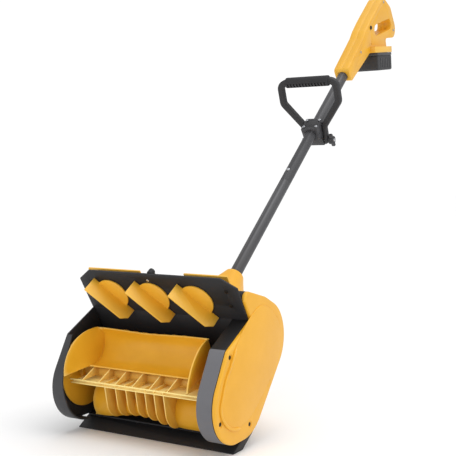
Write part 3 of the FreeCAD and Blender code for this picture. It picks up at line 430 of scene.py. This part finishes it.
STEEL = metal("zinc_plated_steel", "#B4B6BA", 0.3, 0.6)        # bright, a little blue
DARK_STEEL = metal("blackened_steel", "#3B352E", 0.45, 0.6)    # brown-black, half matt
ALLOY = metal("brushed_alloy", "#C6C8CC", 0.34, 0.5)           # pale, with clear lines
BRASS = metal("plated_brass", "#C9A14A", 0.28, 0.6)            # yellow and bright
print(len(bpy.data.materials), "materials in all")

# %% [markdown]
# Each new piece takes the place of a CAD node: it rides on the same body. The body and the
# material slot are both in the record, so they are read from there and not written again.

# %% Finish, body and slot of a piece
BODY_OF = {node: body for body, members in frame["record"]["behaviour"]["bodies"].items()
           for node in members}
SLOT_OF = {part["node"]: part["material_slot"] for part in frame["record"]["subparts"]}


def fit(piece, body, finish, slot, *replaced):
    """Give a piece its finish and its body, and hide the CAD nodes that it stands for."""
    piece.data.materials.clear()
    piece.data.materials.append(finish)
    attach(piece, body)
    if replaced:
        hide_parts(*replaced)
    print(piece.name, len(piece.data.polygons), "faces on", body)
    return piece


def stand_in(node, finish, rim=0.5, sharp=32):
    """A crisp copy that replaces its CAD node."""
    return fit(crisp("moulded_" + node, node, rim, sharp), BODY_OF[node], finish,
               SLOT_OF[node], node)


# %% [markdown]
# The black shells are the curved bowl that the rotor runs in, and the cheek that closes it
# on the left. They are mouldings with a wall of 3 mm. Their CAD shape is already right, so
# a merged copy with a small radius on every edge is enough.

# %% Bowl and cheek
stand_in("auger_housing", BLACK, 0.7)
stand_in("left_cheek", CHARCOAL, 1.0)

# %% [markdown]
# The tray holds the belt, on the right of the bowl. It shares its side outline with the
# yellow cover. It could be a copy too, but its top corner sits a little lower, so it
# is a slab with a room cut into it. The front of its rim is a grey bumper, which is the
# same moulding here, with a second material on those faces.

# %% Belt tray
TRAY_BACK, TRAY_RIM = 138.0, 167.8      # X of the tray's wall and of its open rim
BUMPER_TOP, BUMPER_BACK = 184, 40       # Z and Y where the grey ends


def on_plate(out, run):
    """The y and z of a point out from the rotor's axis and up along the leaning plate."""
    return (AXIS_Y + out * math.cos(LEAN) - run * math.sin(LEAN),
            AXIS_Z + out * math.sin(LEAN) + run * math.cos(LEAN))


BROW = on_plate(SCROLL + 15, 117)
NECK_AT = on_plate(SCROLL + 3, 78.4)


def side_view(inset=0.0):
    """The side outline of cover and tray, drawn in by an inset."""
    return [(-2, 89, 69.5 - inset), (22, 100, 80 - inset), (105, 180, 70 - inset),
            (85, 211, 50 - inset), (*BROW, 12 - inset),
            (NECK_AT[0] + 1.41 * inset, NECK_AT[1] - 0.34 * inset, 0),
            (-22, 174, 10 - inset)]


tray = slab("tray", side_view(), TRAY_BACK, TRAY_RIM, 1.2, 3)
subtract(tray, slab("tray_room", side_view(WALL), TRAY_BACK + WALL, 175, 0))
subtract(tray, slab("bearing_hole", [(AXIS_Y, AXIS_Z, 14)], 130, 150, 0))
tray = fit(settle(tray, GROUND), "housing", BLACK, "black_plastic", "belt_case")
tray.data.materials.append(GREY)
for face in tray.data.polygons:
    middle = face.center * 1000
    rim = abs(face.normal.x) < 0.9 and middle.x > TRAY_BACK + 0.3
    if rim and middle.z < BUMPER_TOP and middle.y < BUMPER_BACK:
        face.material_index = 1
print("tray faces in grey:", sum(face.material_index for face in tray.data.polygons))

# %% [markdown]
# The side cover is the largest yellow moulding: a shallow cap with a soft rim, a raised
# field that follows the two pulleys, and a raised wall that runs round the front. The field
# and the wall are flowing curves, so each starts as a few points, and its corners are cut
# twice over until it runs smoothly. A subdivision surface would also do this, but it would
# soften the flat face.

# %% Flowing paths
def ribbon(path, half):
    """The outline of a strip that follows a path, with pointed ends."""
    sides = [[], []]
    for i, (y, z) in enumerate(path):
        before, after = path[max(0, i - 1)], path[min(len(path) - 1, i + 1)]
        dy, dz = after[0] - before[0], after[1] - before[1]
        size = math.hypot(dy, dz)
        width = half * min(1.0, 0.35 + min(i, len(path) - 1 - i) / 2.5)
        sides[0].append((y + width * dz / size, z - width * dy / size, 0))
        sides[1].append((y - width * dz / size, z + width * dy / size, 0))
    return sides[0] + sides[1][::-1]


def eased(path, times=2):
    """A path with its corners cut, so that it runs smoothly."""
    for _ in range(times):
        soft = [path[0]]
        for a, b in zip(path, path[1:]):
            soft += [(0.75 * a[0] + 0.25 * b[0], 0.75 * a[1] + 0.25 * b[1]),
                     (0.25 * a[0] + 0.75 * b[0], 0.25 * a[1] + 0.75 * b[1])]
        path = soft + [path[-1]]
    return path


FIELD = [(-6, 186), (-28, 151), (-42, 134), (-53, 106), (-58, 92), (-56, 78), (-44, 63),
         (-29, 52), (-14, 46), (12, 46), (52, 58), (96, 92), (139, 124), (156, 157),
         (156, 188), (150, 208), (135, 224), (116, 237), (94, 245), (72, 246), (30, 222)]
WALL_PATH = [(-6, 183), (-27, 151), (-41, 134), (-52, 106), (-57, 93), (-55, 79), (-44, 64),
             (-29, 53), (-14, 47), (6, 45)]
print("the field's", len(FIELD), "points become", len(eased(FIELD + FIELD[:1])) - 1)

# %% [markdown]
# The cap is cut from behind to leave its wall, and each screw gets a seat and a shallow
# dish round it. Field and wall start just under the cap's face, so that they grow out of
# it with no gap, and the three become one object, as they are one moulding.

# %% Side cover
SCREW_SPOTS = [(49, 215), (138, 214), (-25, 171), (113, 110), (-56, 66), (43, 43)]
COVER_BACK, COVER_FACE = 168.0, 176.0
UNDER_FACE = 175.4
FIELD_TOP, WALL_TOP = 177.2, 178.9
SEAT_FLOOR, SEAT_R = 173.6, 3.9         # where a screw head sits
DISH_FLOOR, DISH_R = 175.3, 6.2         # the shallow dish round it
PAST = 180                              # cutters run on past the face
cap = slab("cap", side_view(), COVER_BACK, COVER_FACE, 2.6, 4)
subtract(cap, slab("cap_room", side_view(WALL), 160, COVER_FACE - WALL, 0))
for y, z in SCREW_SPOTS:
    subtract(cap, slab("screw_seat", [(y, z, SEAT_R)], SEAT_FLOOR, PAST, 0))
    subtract(cap, slab("screw_dish", [(y, z, DISH_R)], DISH_FLOOR, PAST, 0))
field = [(y, z, 0) for y, z in eased(FIELD + FIELD[:1])[:-1]]
field = slab("field", field, UNDER_FACE, FIELD_TOP, 1.2, 3)
guide = slab("guide", ribbon(eased(WALL_PATH), 2.6), UNDER_FACE, WALL_TOP, 1.2, 3)
cover = welded("side_cover_shell", settle(cap, GROUND), settle(field, GROUND),
               settle(guide, GROUND))
fit(cover, "housing", YELLOW, "yellow_plastic", "side_cover")

# %% [markdown]
# Cross-head screws hold the covers. A head is a low dome with a cross pressed into it, and
# the cross shows, so it is cut and not painted. The same function makes the heads on the
# cover, plate and handle, and the heads of one group are joined, because CAD has them in one node.

# %% Screw heads
def screw_head(name, place, spot, low, radius=3.5, height=2.2, plane="YZ"):
    """A domed head with a cross recess, standing in a frame."""
    head = slab(name, [(spot[0], spot[1], radius)], low, low + height, 0.9, 3, plane=plane,
                step=0.9)
    for wide, tall in ((radius * 0.62, 0.55), (0.55, radius * 0.62)):
        u, v = spot
        cross = slab("cross", [(u - wide, v - tall, 0), (u + wide, v - tall, 0),
                               (u + wide, v + tall, 0), (u - wide, v + tall, 0)],
                     low + height - 1.1, low + height + 1, 0, plane=plane)
        subtract(head, cross)
    return settle(head, place)


heads = [screw_head(f"cover_head_{i}", GROUND, spot, SEAT_FLOOR + 0.1)
         for i, spot in enumerate(SCREW_SPOTS)]
fit(welded("cover_screw_heads", *heads), "housing", DARK_STEEL, "bare_steel", "cover_screws")

# %% [markdown]
# The leaning plate throws the snow, and its three vanes steer it. A vane is a tall thin fin
# on a round foot, moulded in one. Behind the plate a steel crank on each foot and a flat
# bar turn them together. All of these keep their CAD shape, as crisp copies.

# %% Plate and vanes
stand_in("deflector_plate", BLACK, 0.9)
for side in ("left", "middle", "right"):
    stand_in("vane_" + side, YELLOW, 0.7)
    stand_in("crank_" + side, STEEL, 0.4)
stand_in("link_bar", STEEL, 0.4)

# %% [markdown]
# A hand pushes the steering lever: a flat arm over the plate, with a thumb pad at its tip.
# It could be a copy, but the real arm is a little shorter than the CAD one. So it is a slab
# whose outline swells in the middle, and the pad is a thicker slab, moulded on. Four
# screws hold the plate, near its ends.

# %% Steering lever and plate screws
ARM_UNDER, ARM_TOP, PAD_TOP = -103.5, -100.5, -92.0      # across the plate
SCREW_X, SCREW_RUNS, PLATE_FACE = 146, (110, 141), -88.0
REACH, TURN = Vector((-13, 153.9)), math.radians(28)
along = Vector((math.sin(TURN), math.cos(TURN)))
tip = REACH + 13 * along
heel = REACH - 22.9 / math.cos(TURN) * along
arm = slab("arm", [(*tip, 6), (*REACH, 8.5), (*heel, 5.7)], ARM_UNDER, ARM_TOP, 0.8, plane="XY")
pad = slab("pad", [(*tip, 6)], ARM_UNDER, PAD_TOP, 2.0, 4, plane="XY")
fit(settle(welded("steering_arm", arm, pad), PLATE), "steering_lever", BLACK,
    "black_plastic", "steering_lever")
stand_in("lever_post", STEEL, 0.2)
corners = [(x, run) for run in SCREW_RUNS for x in (-SCREW_X, SCREW_X)]
bolts = [screw_head(f"plate_head_{i}", PLATE, spot, PLATE_FACE, 3.5, 1.3, "XY")
         for i, spot in enumerate(corners)]
fit(welded("plate_screw_heads", *bolts), "housing", DARK_STEEL, "bare_steel", "plate_screws")

# %% [markdown]
# The rear housing closes the back of the plate. Its neck narrows from a broad hood to a
# round socket. That is a loft, which CAD does better than a mesh tool, so it is a copy with
# a larger radius. The scraper is a black wear strip under the bowl.

# %% Rear housing and scraper
stand_in("rear_housing", YELLOW, 1.0, 40)
stand_in("scraper_blade", BLACK, 0.8)
stand_in("scraper_screws", STEEL, 0.3)
stand_in("bearing_cap", BLACK, 0.8)

# %% [markdown]
# The rotor is one nylon moulding with thin curved walls. Such a wall could be a slab with a
# room cut out, but its edge would be ragged. So it is a grid whose points lie on the wall's
# middle, Solidify gives it its thickness, and a bevel rounds its rims.

# %% Thin curved walls
def sheet(name, rows, thick, rim=0.5, offset=0.0):
    """A thin wall through rows of points, made from a grid, with soft rims."""
    clear()
    bpy.ops.mesh.primitive_grid_add(x_subdivisions=len(rows[0]) - 1,
                                    y_subdivisions=len(rows) - 1, size=1)
    wall = bpy.context.active_object
    wall.name = name
    for vertex, point in zip(wall.data.vertices, [p for row in rows for p in row]):
        vertex.co = point
    tool = wall.modifiers.new("wall", "SOLIDIFY")
    tool.thickness, tool.offset, tool.use_even_offset = thick, offset, True
    bpy.ops.object.modifier_apply(modifier=tool.name)
    bpy.ops.object.mode_set(mode="EDIT")
    bpy.ops.mesh.select_all(action="SELECT")
    bpy.ops.mesh.normals_make_consistent(inside=False)
    bpy.ops.object.mode_set(mode="OBJECT")
    tool = wall.modifiers.new("rim", "BEVEL")
    tool.width, tool.segments, tool.limit_method = rim, 2, "ANGLE"
    tool.angle_limit = math.radians(50)
    bpy.ops.object.modifier_apply(modifier=tool.name)
    return wall


# %% [markdown]
# A scoop is an arc that opens forwards, from a deck near the axis to the tip. Its side
# walls end on a larger arc round the rotor's axis. The lip of each scoop dips inwards in
# the middle, along a smooth cosine.

# %% Curves of a scoop
MIDDLE, HALF = -14.5, 150.0             # the rotor's middle along X, and half its length
TIP, RIM_R = 82.0, 81.5                 # from the axis to a scoop's tip and a wall's edge
SCOOP_Y, SCOOP_Z, SCOOP_R = -21, 52, 38


def dip_at(x):
    """How much of the dip a lip has at a place along the rotor: 1 near the middle."""
    return math.cos(min(1.0, abs(x + 12) / 95) * math.pi / 2) ** 2


def scoop_arc(count=18):
    """The hollow of a scoop, from the deck to the tip, in y and z from the axis."""
    start, end = math.radians(261), math.radians(410)
    return [(SCOOP_Y + SCOOP_R * math.cos(start + (end - start) * i / count),
             SCOOP_Z + SCOOP_R * math.sin(start + (end - start) * i / count))
            for i in range(count + 1)]


def rim_arc(count=18):
    """The outer edge of a side wall, from the front round to the tip."""
    start, end = math.radians(178), math.radians(87.5)
    return [(RIM_R * math.cos(start + (end - start) * i / count),
             RIM_R * math.sin(start + (end - start) * i / count)) for i in range(count + 1)]


print("scoop arc from", scoop_arc()[0], "to", scoop_arc()[-1])

# %% [markdown]
# Half a rotor is a scoop, two side walls that lean outwards to gather the snow, a deck with
# a lip, and seven webs and ledges that stiffen the back of the other scoop. All of it is in
# one function, because the other half is the same shape with another dip, half a turn on.

# %% One half of the rotor
SCOOP_HALF, DECK_HALF = 117, 140        # half widths along X
LEDGE_PITCH, WEB_PITCH, WEB_HALF = 37, 21.5, 1.1
SCOOP_WALL, SIDE_WALL = 2.6, 2.4
LEFT_FLARE, RIGHT_FLARE = 17.0, 15.0    # how far the side walls lean outwards


def half_rotor(sag, web_sag):
    """One scoop whose lip dips by sag, and webs that follow the other scoop's dip."""
    rim = rim_arc()
    arc = [point for point in scoop_arc() if math.hypot(*point) <= TIP + 0.5]
    lines = [i * 9.0 - SCOOP_HALF for i in range(27)]
    rows = []
    for k, (y, z) in enumerate(arc):
        near_tip = max(0.0, (k - len(arc) + 6) / 5)
        dip = [1 - sag * near_tip * dip_at(x) for x in lines]
        rows.append([(MIDDLE + x, y * d, z * d) for x, d in zip(lines, dip)])
    parts = [sheet("scoop", rows, SCOOP_WALL, 0.6)]
    last = len(rim) - 1
    inner = [arc[round(i * (len(arc) - 1) / last)] for i in range(last + 1)]
    lean = [math.sin(math.pi * (0.12 + 0.5 * (1 - i / last))) for i in range(last + 1)]
    for side, flare in ((-1, LEFT_FLARE), (1, RIGHT_FLARE)):
        rows = [[(MIDDLE + side * (SCOOP_HALF + flare * t * out),
                  near[0] + (far[0] - near[0]) * t, near[1] + (far[1] - near[1]) * t)
                 for near, far, out in zip(inner, rim, lean)]
                for t in [step / 6 for step in range(7)]]
        parts.append(sheet("side_wall", rows, SIDE_WALL, 0.5))
    parts.append(slab("deck", [(-55, -14, 0), (-1, -9, 0), (-1, -7.4, 0), (-55, -12.4, 0)],
                      MIDDLE - DECK_HALF, MIDDLE + DECK_HALF, 0.3))
    parts.append(slab("lip", [(-56.6, -8, 0), (-54.6, -8, 0), (-54.6, -5.8, 0),
                              (-56.6, -5.8, 0)], MIDDLE - DECK_HALF, MIDDLE + DECK_HALF, 0.4))
    ledge = [(-15, 15.5, 0), (-56.5, -5.6, 0), (-56.5, -7, 0), (-4, -3, 0)]
    web = [(-3, -2.6, 0), (-56, -7, 0), (-8, 40 - TIP, 39.5), (-3, 0.5 - TIP, 0),
           (-SCOOP_Y, -SCOOP_Z, -SCOOP_R + 0.1), (27, 0.4 - SCOOP_Z + SCOOP_R, 0)]
    for step in range(-3, 4):
        x = MIDDLE + step * LEDGE_PITCH
        parts.append(slab("ledge", ledge, x - WEB_HALF, x + WEB_HALF, 0.5))
        x = MIDDLE + step * WEB_PITCH
        size = 1 - web_sag * dip_at(x - MIDDLE)
        sized = [(y * size, z * size, r * size) for y, z, r in web]
        parts.append(slab("web", sized, x - WEB_HALF, x + WEB_HALF, 0.5))
    return welded("half_rotor", *parts)


print("the webs of one half span", 6 * WEB_PITCH, "mm")

# %% [markdown]
# Two halves, a tube round the shaft, and a disc and a boss at each end make the rotor. The
# first scoop's lip is nearly straight, and the second one's dips.

# %% Whole rotor
SMALL_DIP, LARGE_DIP = 0.03, 0.14
CORE_R, DISC_R, BOSS_R, SHAFT_R = 12, 68, 20, 6.0
DISC_WALL, BOSS_WALL = 2.6, 7
shaft_hole = ([(0, 0, SHAFT_R)],)
first = half_rotor(SMALL_DIP, LARGE_DIP)
second = half_rotor(LARGE_DIP, SMALL_DIP)
second.data.transform(Matrix.Rotation(math.pi, 4, "X"))
core = slab("core", [(0, 0, CORE_R)], MIDDLE - HALF, MIDDLE + HALF, 0.8, holes=shaft_hole)
discs = [slab("end_disc", [(0, 0, DISC_R)], x, x + DISC_WALL, 0.9, 3, holes=shaft_hole)
         for x in (MIDDLE - HALF, MIDDLE + HALF - DISC_WALL)]
bosses = [slab("boss", [(0, 0, BOSS_R)], x, x + BOSS_WALL, 1.6, 3, holes=shaft_hole)
          for x in (MIDDLE - HALF + 2, MIDDLE + HALF - BOSS_WALL - 2)]
rotor = settle(welded("rotor_moulding", first, second, core, *discs, *bosses), ROTOR, 40)
fit(rotor, "rotor", ROTOR_YELLOW, "yellow_rotor", "rotor")

# %% [markdown]
# The pole is drawn steel tube with a grey powder coat. The two tubes meet over an inner
# sleeve, and a sprung button locks them. The clamp is two nylon halves round the pole, and
# the loop handle turns on its bolt. A plain tube needs no new mesh, so these are copies,
# and the clamp's corners get a larger radius than the rest.

# %% Tubes, button and clamp
for node in ("lower_tube", "upper_tube"):
    stand_in(node, TUBE_PAINT, 0.4, 40)
stand_in("snap_button", STEEL, 1.2, 40)
for node in ("clamp_upper", "clamp_lower"):
    stand_in(node, CHARCOAL, 2.2, 40)
stand_in("clamp_screws", STEEL, 0.4)
stand_in("clamp_bolt", STEEL, 0.5)

# %% [markdown]
# Two fingers turn the knob on the clamp's bolt. It has a round hub for the thread and a bar
# of two wings across it, and both are slabs with a very round rim.

# %% Wing knob
KNOB_AT = (BOLT_DROP, CLAMP_RUN)
WING_HALF = 14
HUB_SPAN, WING_SPAN = (32.8, 45.7), (35.7, 44.6)         # out from the pole, along X
wings = [(BOLT_DROP + side * WING_HALF, CLAMP_RUN, 4) for side in (-1, 1)]
hub = slab("hub", [(*KNOB_AT, 10)], *HUB_SPAN, 2.2, 4, holes=([(*KNOB_AT, 4.3)],))
wing = slab("wing", wings, *WING_SPAN, 2.4, 4, holes=([(*KNOB_AT, 8)],))
fit(settle(welded("wing_knob", hub, wing), POLE, 45), "clamp_knob", CHARCOAL,
    "black_plastic", "clamp_knob")

# %% [markdown]
# The loop handle's bar is rounded almost to a circle, more than a bevel can do without its
# faces crossing. So its block is extruded ring by ring, and each ring is the outline drawn
# in a little further. A quarter of a sine and a cosine give the rings their places.

# %% Blocks with very round rims
def pillow(name, rounds, levels, plane="YZ", step=2.5):
    """A block with very round rims: the outline is extruded through levels (w, inset)."""
    rings = [outline(rounds, step, inset) for _, inset in levels]
    clear()
    bpy.context.tool_settings.mesh_select_mode = (True, False, False)
    bpy.ops.mesh.primitive_circle_add(vertices=len(rings[0]), fill_type="NGON")
    piece = bpy.context.active_object
    piece.name = name
    for vertex, (u, v) in zip(piece.data.vertices, rings[0]):
        vertex.co = spread(plane, u, v, levels[0][0])
    for (w, _), ring in zip(levels[1:], rings[1:]):
        bpy.ops.object.mode_set(mode="EDIT")
        bpy.ops.mesh.extrude_region_move()
        bpy.ops.object.mode_set(mode="OBJECT")
        moved = [vertex for vertex in piece.data.vertices if vertex.select]
        for vertex, (u, v) in zip(moved, ring):
            vertex.co = spread(plane, u, v, w)
    bpy.ops.object.mode_set(mode="EDIT")
    bpy.ops.mesh.select_all(action="SELECT")
    bpy.ops.mesh.remove_doubles(threshold=0.0005)
    bpy.ops.mesh.normals_make_consistent(inside=False)
    bpy.ops.object.mode_set(mode="OBJECT")
    return piece


def quarter(start, size, way=1, grow=1, count=6):
    """Levels of a quarter round that begins at start and closes in by its size."""
    return [(start + way * size * math.sin(math.pi / 2 * k / count),
             grow * size * (1 - math.cos(math.pi / 2 * k / count))) for k in range(1, count + 1)]


print("a quarter round has", len(quarter(0, 5)), "rings")

# %% [markdown]
# The front handle is a moulded loop of nylon. Its outside is such a block, and its inside
# is cut with another one that flares at both faces, so that the rim is round there too.

# %% Loop handle
def loop_rounds(inset):
    """The loop's upper corners, on both sides, drawn in by an inset."""
    right = [(58.0, 101.2, 22 - inset), (56.0, 131.2, 24 - inset)]
    return right + [(-x, z, r) for x, z, r in reversed(right)]


outside = [(-23.2, 0, 9), (23.2, 0, 9), (40.2, 29.9, -8), *loop_rounds(0), (-40.2, 29.9, -8)]
inside = [(-18.2, -14, 3), (18.2, -14, 3), (29.2, 40, -8), *loop_rounds(16), (-29.2, 40, -8)]
round_bar = quarter(-3, 5, -1)[::-1] + [(-3, 0), (3, 0)] + quarter(3, 5)
flared = [(-12, -4.5)] + quarter(-3.5, 4.5, -1, -1)[::-1] + [(-3.5, 0), (3.5, 0)] \
    + quarter(3.5, 4.5, 1, -1) + [(12, -4.5)]
bar = pillow("loop", outside, round_bar, "XZ")
subtract(bar, pillow("loop_gap", inside, flared, "XZ"))
fit(settle(bar, LOOP, 50), "front_handle", CHARCOAL, "black_plastic", "handle_loop")

# %% [markdown]
# A soft rubber sleeve covers the loop's bar. It is turned with the spin tool from its own
# section. Thirteen pairs of slots in its lower half, front and back, let the fingers grip.
# They are cut and not bumped, because they are deep enough to show as dark gaps.

# %% Slotted sleeve
def spun(name, profile, centre, steps=56):
    """A closed outline (x, radius) spun about a line along X through a centre (y, z)."""
    clear()
    bpy.ops.mesh.primitive_circle_add(vertices=len(profile), fill_type="NOTHING")
    ring = bpy.context.active_object
    ring.name = name
    for vertex, (x, r) in zip(ring.data.vertices, profile):
        vertex.co = (x, centre[0], centre[1] + r)
    bpy.ops.object.mode_set(mode="EDIT")
    bpy.ops.mesh.select_all(action="SELECT")
    bpy.ops.mesh.spin(steps=steps, angle=2 * math.pi, center=(0, *centre), axis=(1, 0, 0))
    bpy.ops.mesh.select_all(action="SELECT")
    bpy.ops.mesh.remove_doubles(threshold=0.001)
    bpy.ops.mesh.normals_make_consistent(inside=False)
    bpy.ops.object.mode_set(mode="OBJECT")
    return ring


BAR_HEIGHT, SLOTS, SLOT_PITCH, SLOT_HALF = 147.2, 13, 7.9, 2.1
profile = [(-55, 8.1), (-55, 11.0), (-54.4, 12.1), (-53, 12.5), (53, 12.5), (54.4, 12.1),
           (55, 11.0), (55, 8.1)]
front_slot = [(-15.5, 138, 2.2), (-6.5, 132.2, 2.2), (-6.5, 139.8, 2.2), (-9.8, 143.4, 2.2),
              (-15.5, 145, 2.2)]
back_slot = [(6.5, 132.2, 2.2), (15.5, 138, 2.2), (15.5, 145, 2.2), (9.8, 143.4, 2.2),
             (6.5, 139.8, 2.2)]
sleeve = spun("slotted_sleeve", profile, (0, BAR_HEIGHT))
for i in range(SLOTS):
    x = (i - SLOTS // 2) * SLOT_PITCH
    for slot in (front_slot, back_slot):
        subtract(sleeve, slab("gap", slot, x - SLOT_HALF, x + SLOT_HALF, 0))
fit(settle(sleeve, LOOP, 40), "front_handle", RUBBER, "soft_grip", "handle_grip")

# %% [markdown]
# The rear handle is two yellow shells, split down the middle, that clamp the pole's end,
# the trigger and the switch. Modelled as one block they would have no seam, so they are
# merged copies of the two CAD shells, with a soft radius on every edge.

# %% Handle shells
HANDLE_SCREWS = [(-7, 100), (-24, 328), (78, 348)]
SHELL_FACE = 19.6
for word in ("left", "right"):
    stand_in("handle_shell_" + word, YELLOW, 2.0, 40)
handle_heads = [screw_head(f"handle_head_{i}", HANDLE, spot, SHELL_FACE, 3.5, 1.7)
                for i, spot in enumerate(HANDLE_SCREWS)]
fit(welded("handle_screw_heads", *handle_heads), "housing", STEEL, "bare_steel",
    "handle_screws")

# %% [markdown]
# One finger pulls the trigger, a short curved lever that turns on a pin through its lower
# end. It is a slab with a hole for the pin. The small lock button is a copy.

# %% Trigger and lock
PIN_AT, PIN_HOLE, TRIGGER_HALF = (-16, 238), 2.05, 6
trigger = slab("trigger_lever", [(*PIN_AT, 5), (-1, 240, 5), (8, 266, 5), (-7, 272, 5)],
               -TRIGGER_HALF, TRIGGER_HALF, 2.4, 5, holes=([(*PIN_AT, PIN_HOLE)],))
fit(settle(trigger, HANDLE, 45), "trigger", BLACK, "black_plastic", "trigger")
stand_in("lock_button", BLACK, 0.7)

# %% [markdown]
# The battery slides along rails under the foot. Its case is a hollow block whose ends lean
# a little, with six grip grooves down each side and a gap at the back for the release
# button. It needs round rims and an exact opening at once, so it is a ringed block, and
# the room, grooves and gap are cut from it.

# %% Battery case
CASE_HALF, CASE_RIM = 32.4, 2.5
GROOVES, GROOVE_START, GROOVE_PITCH = 6, 44, 13
ROOM_HALF, GROOVE_FLOOR, GAP_START = 32.3, 33.9, 121.5
levels = quarter(-CASE_HALF, CASE_RIM, -1)[::-1] + [(-CASE_HALF, 0), (CASE_HALF, 0)] \
    + quarter(CASE_HALF, CASE_RIM)
case = pillow("case", [(28, -42, 6), (124, -42, 6), (127, -11, 3), (25, -11, 3)], levels)
subtract(case, slab("case_room", [(28.5, -41.5, 4), (123.5, -41.5, 4), (126.5, -12, 1),
                                  (25.5, -12, 1)], -ROOM_HALF, ROOM_HALF, 0))
for side in (-1, 1):
    depth = sorted((side * GROOVE_FLOOR, side * 37))
    for i in range(GROOVES):
        y = GROOVE_START + i * GROOVE_PITCH
        subtract(case, slab("groove", [(y, -40, 1.5), (y, -16, 1.5)], *depth, 0))
subtract(case, slab("button_gap", [(-9.3, -17, 0), (9.3, -17, 0), (9.3, -5, 0), (-9.3, -5, 0)],
                    GAP_START, 140, 0, plane="XZ"))
fit(settle(case, FOOT, 40), "battery", CHARCOAL, "black_plastic", "battery_case")
stand_in("battery_lid", CHARCOAL, 0.6)
stand_in("battery_latch", GREY, 0.8)

# %% [markdown]
# The nodes that are left keep their CAD mesh. They are mostly inside the shells, such as
# the motor, the belt and the cells, but they show when a cover is taken off. Each gets the
# finish of its material slot.

# %% Finishes for the CAD nodes that stay
BY_SLOT = {"yellow_plastic": YELLOW, "yellow_rotor": ROTOR_YELLOW, "black_plastic": BLACK,
           "grey_plastic": GREY, "soft_grip": RUBBER, "tube_paint": TUBE_PAINT,
           "bare_steel": STEEL, "alloy": ALLOY, "belt_rubber": BELT_RUBBER,
           "contact_brass": BRASS, "cell_wrap": CELL_WRAP, "board_green": BOARD}
for name, node in nodes.items():
    node.data.materials.clear()
    node.data.materials.append(BY_SLOT[SLOT_OF[name]])
print(len(nodes), "nodes have a finish")

# %% [markdown]
# The stage is a pale floor that runs into a white world. The floor could be a large plane,
# but a wide disc has no corner that could show. A camera ray sees the world brighter than
# it lights the shovel, so that the backdrop is white and the yellow is not washed out.

# %% Floor and world
WORLD_LIGHT, WORLD_SEEN = 0.68, 1.05
clear()
bpy.ops.mesh.primitive_circle_add(vertices=96, radius=30, fill_type="NGON",
                                  location=(0, 0, -0.0006))
floor = bpy.context.active_object
floor.name = "studio_floor"
pale, _, shader, _ = blank("pale_floor", Roughness=0.9)
shader.inputs["Base Color"].default_value = srgb("#F4F4F4")
floor.data.materials.append(pale)
world = bpy.data.worlds.new("white_studio")
bpy.context.scene.world = world
world.use_nodes = True
tree = world.node_tree
soft = tree.nodes["Background"]
soft.inputs[0].default_value, soft.inputs[1].default_value = srgb("#FFFFFF"), WORLD_LIGHT
bright = add(tree, "Background", {"Color": srgb("#FFFFFF"), "Strength": WORLD_SEEN})
seen = add(tree, "LightPath", {}).outputs["Is Camera Ray"]
either = add(tree, "MixShader", {0: seen, 1: soft.outputs[0], 2: bright.outputs[0]})
tree.links.new(either.outputs[0], tree.nodes["World Output"].inputs[0])
print("the world lights with", WORLD_LIGHT, "and is seen with", WORLD_SEEN)

# %% [markdown]
# The light is a plain studio's: a large soft key from the right, which leaves the fronts of
# the yellow parts darker than their sides, a fill from the front, and a very wide, even
# light from above. The Standard view shows the colours as they are, where a filmic one
# would turn the yellow pale.

# %% Light
def softbox(name, place, power, width, height, target=(0, 0.3, 0.35)):
    """An area lamp that faces the shovel."""
    lamp = bpy.data.lights.new(name, "AREA")
    lamp.shape = "RECTANGLE"
    lamp.size, lamp.size_y, lamp.energy = width, height, power
    holder = bpy.data.objects.new(name, lamp)
    bpy.context.scene.collection.objects.link(holder)
    holder.location = place
    holder.rotation_euler = (Vector(target) - Vector(place)).to_track_quat("-Z", "Y").to_euler()


softbox("key_right", (3.2, 0.4, 1.5), 9, 2.0, 2.0)
softbox("fill_front", (-0.4, -3.2, 0.9), 16, 2.0, 1.4)
sun = bpy.data.objects.new("wide_sky_panel", bpy.data.lights.new("wide_sky_panel", "SUN"))
bpy.context.scene.collection.objects.link(sun)
sun.data.energy, sun.data.angle = 1.6, math.radians(60)
sun.rotation_euler = Vector((-0.3, -0.12, -1)).to_track_quat("-Z", "Y").to_euler()
bpy.context.scene.view_settings.view_transform = "Standard"
print(len(bpy.data.lights), "lights")

# %% [markdown]
# The camera stands low in front of the shovel, to its right, about where a person kneels to
# look at it. Its heading is given by two angles and not by a target, so that either can be
# changed alone.

# %% Camera
YAW, PITCH = math.radians(30.3), math.radians(-3.1)
CAMERA_AT, LENS = (0.907, -1.283, 0.465), 70
camera = bpy.data.objects.new("camera", bpy.data.cameras.new("camera"))
bpy.context.scene.collection.objects.link(camera)
bpy.context.scene.camera = camera
camera.location = CAMERA_AT
looking = Vector((-math.sin(YAW) * math.cos(PITCH), math.cos(YAW) * math.cos(PITCH),
                  math.sin(PITCH)))
camera.rotation_euler = looking.to_track_quat("-Z", "Y").to_euler()
camera.data.sensor_width = 36
camera.data.lens = LENS
camera.data.clip_end = 200
print("the camera looks along", looking)
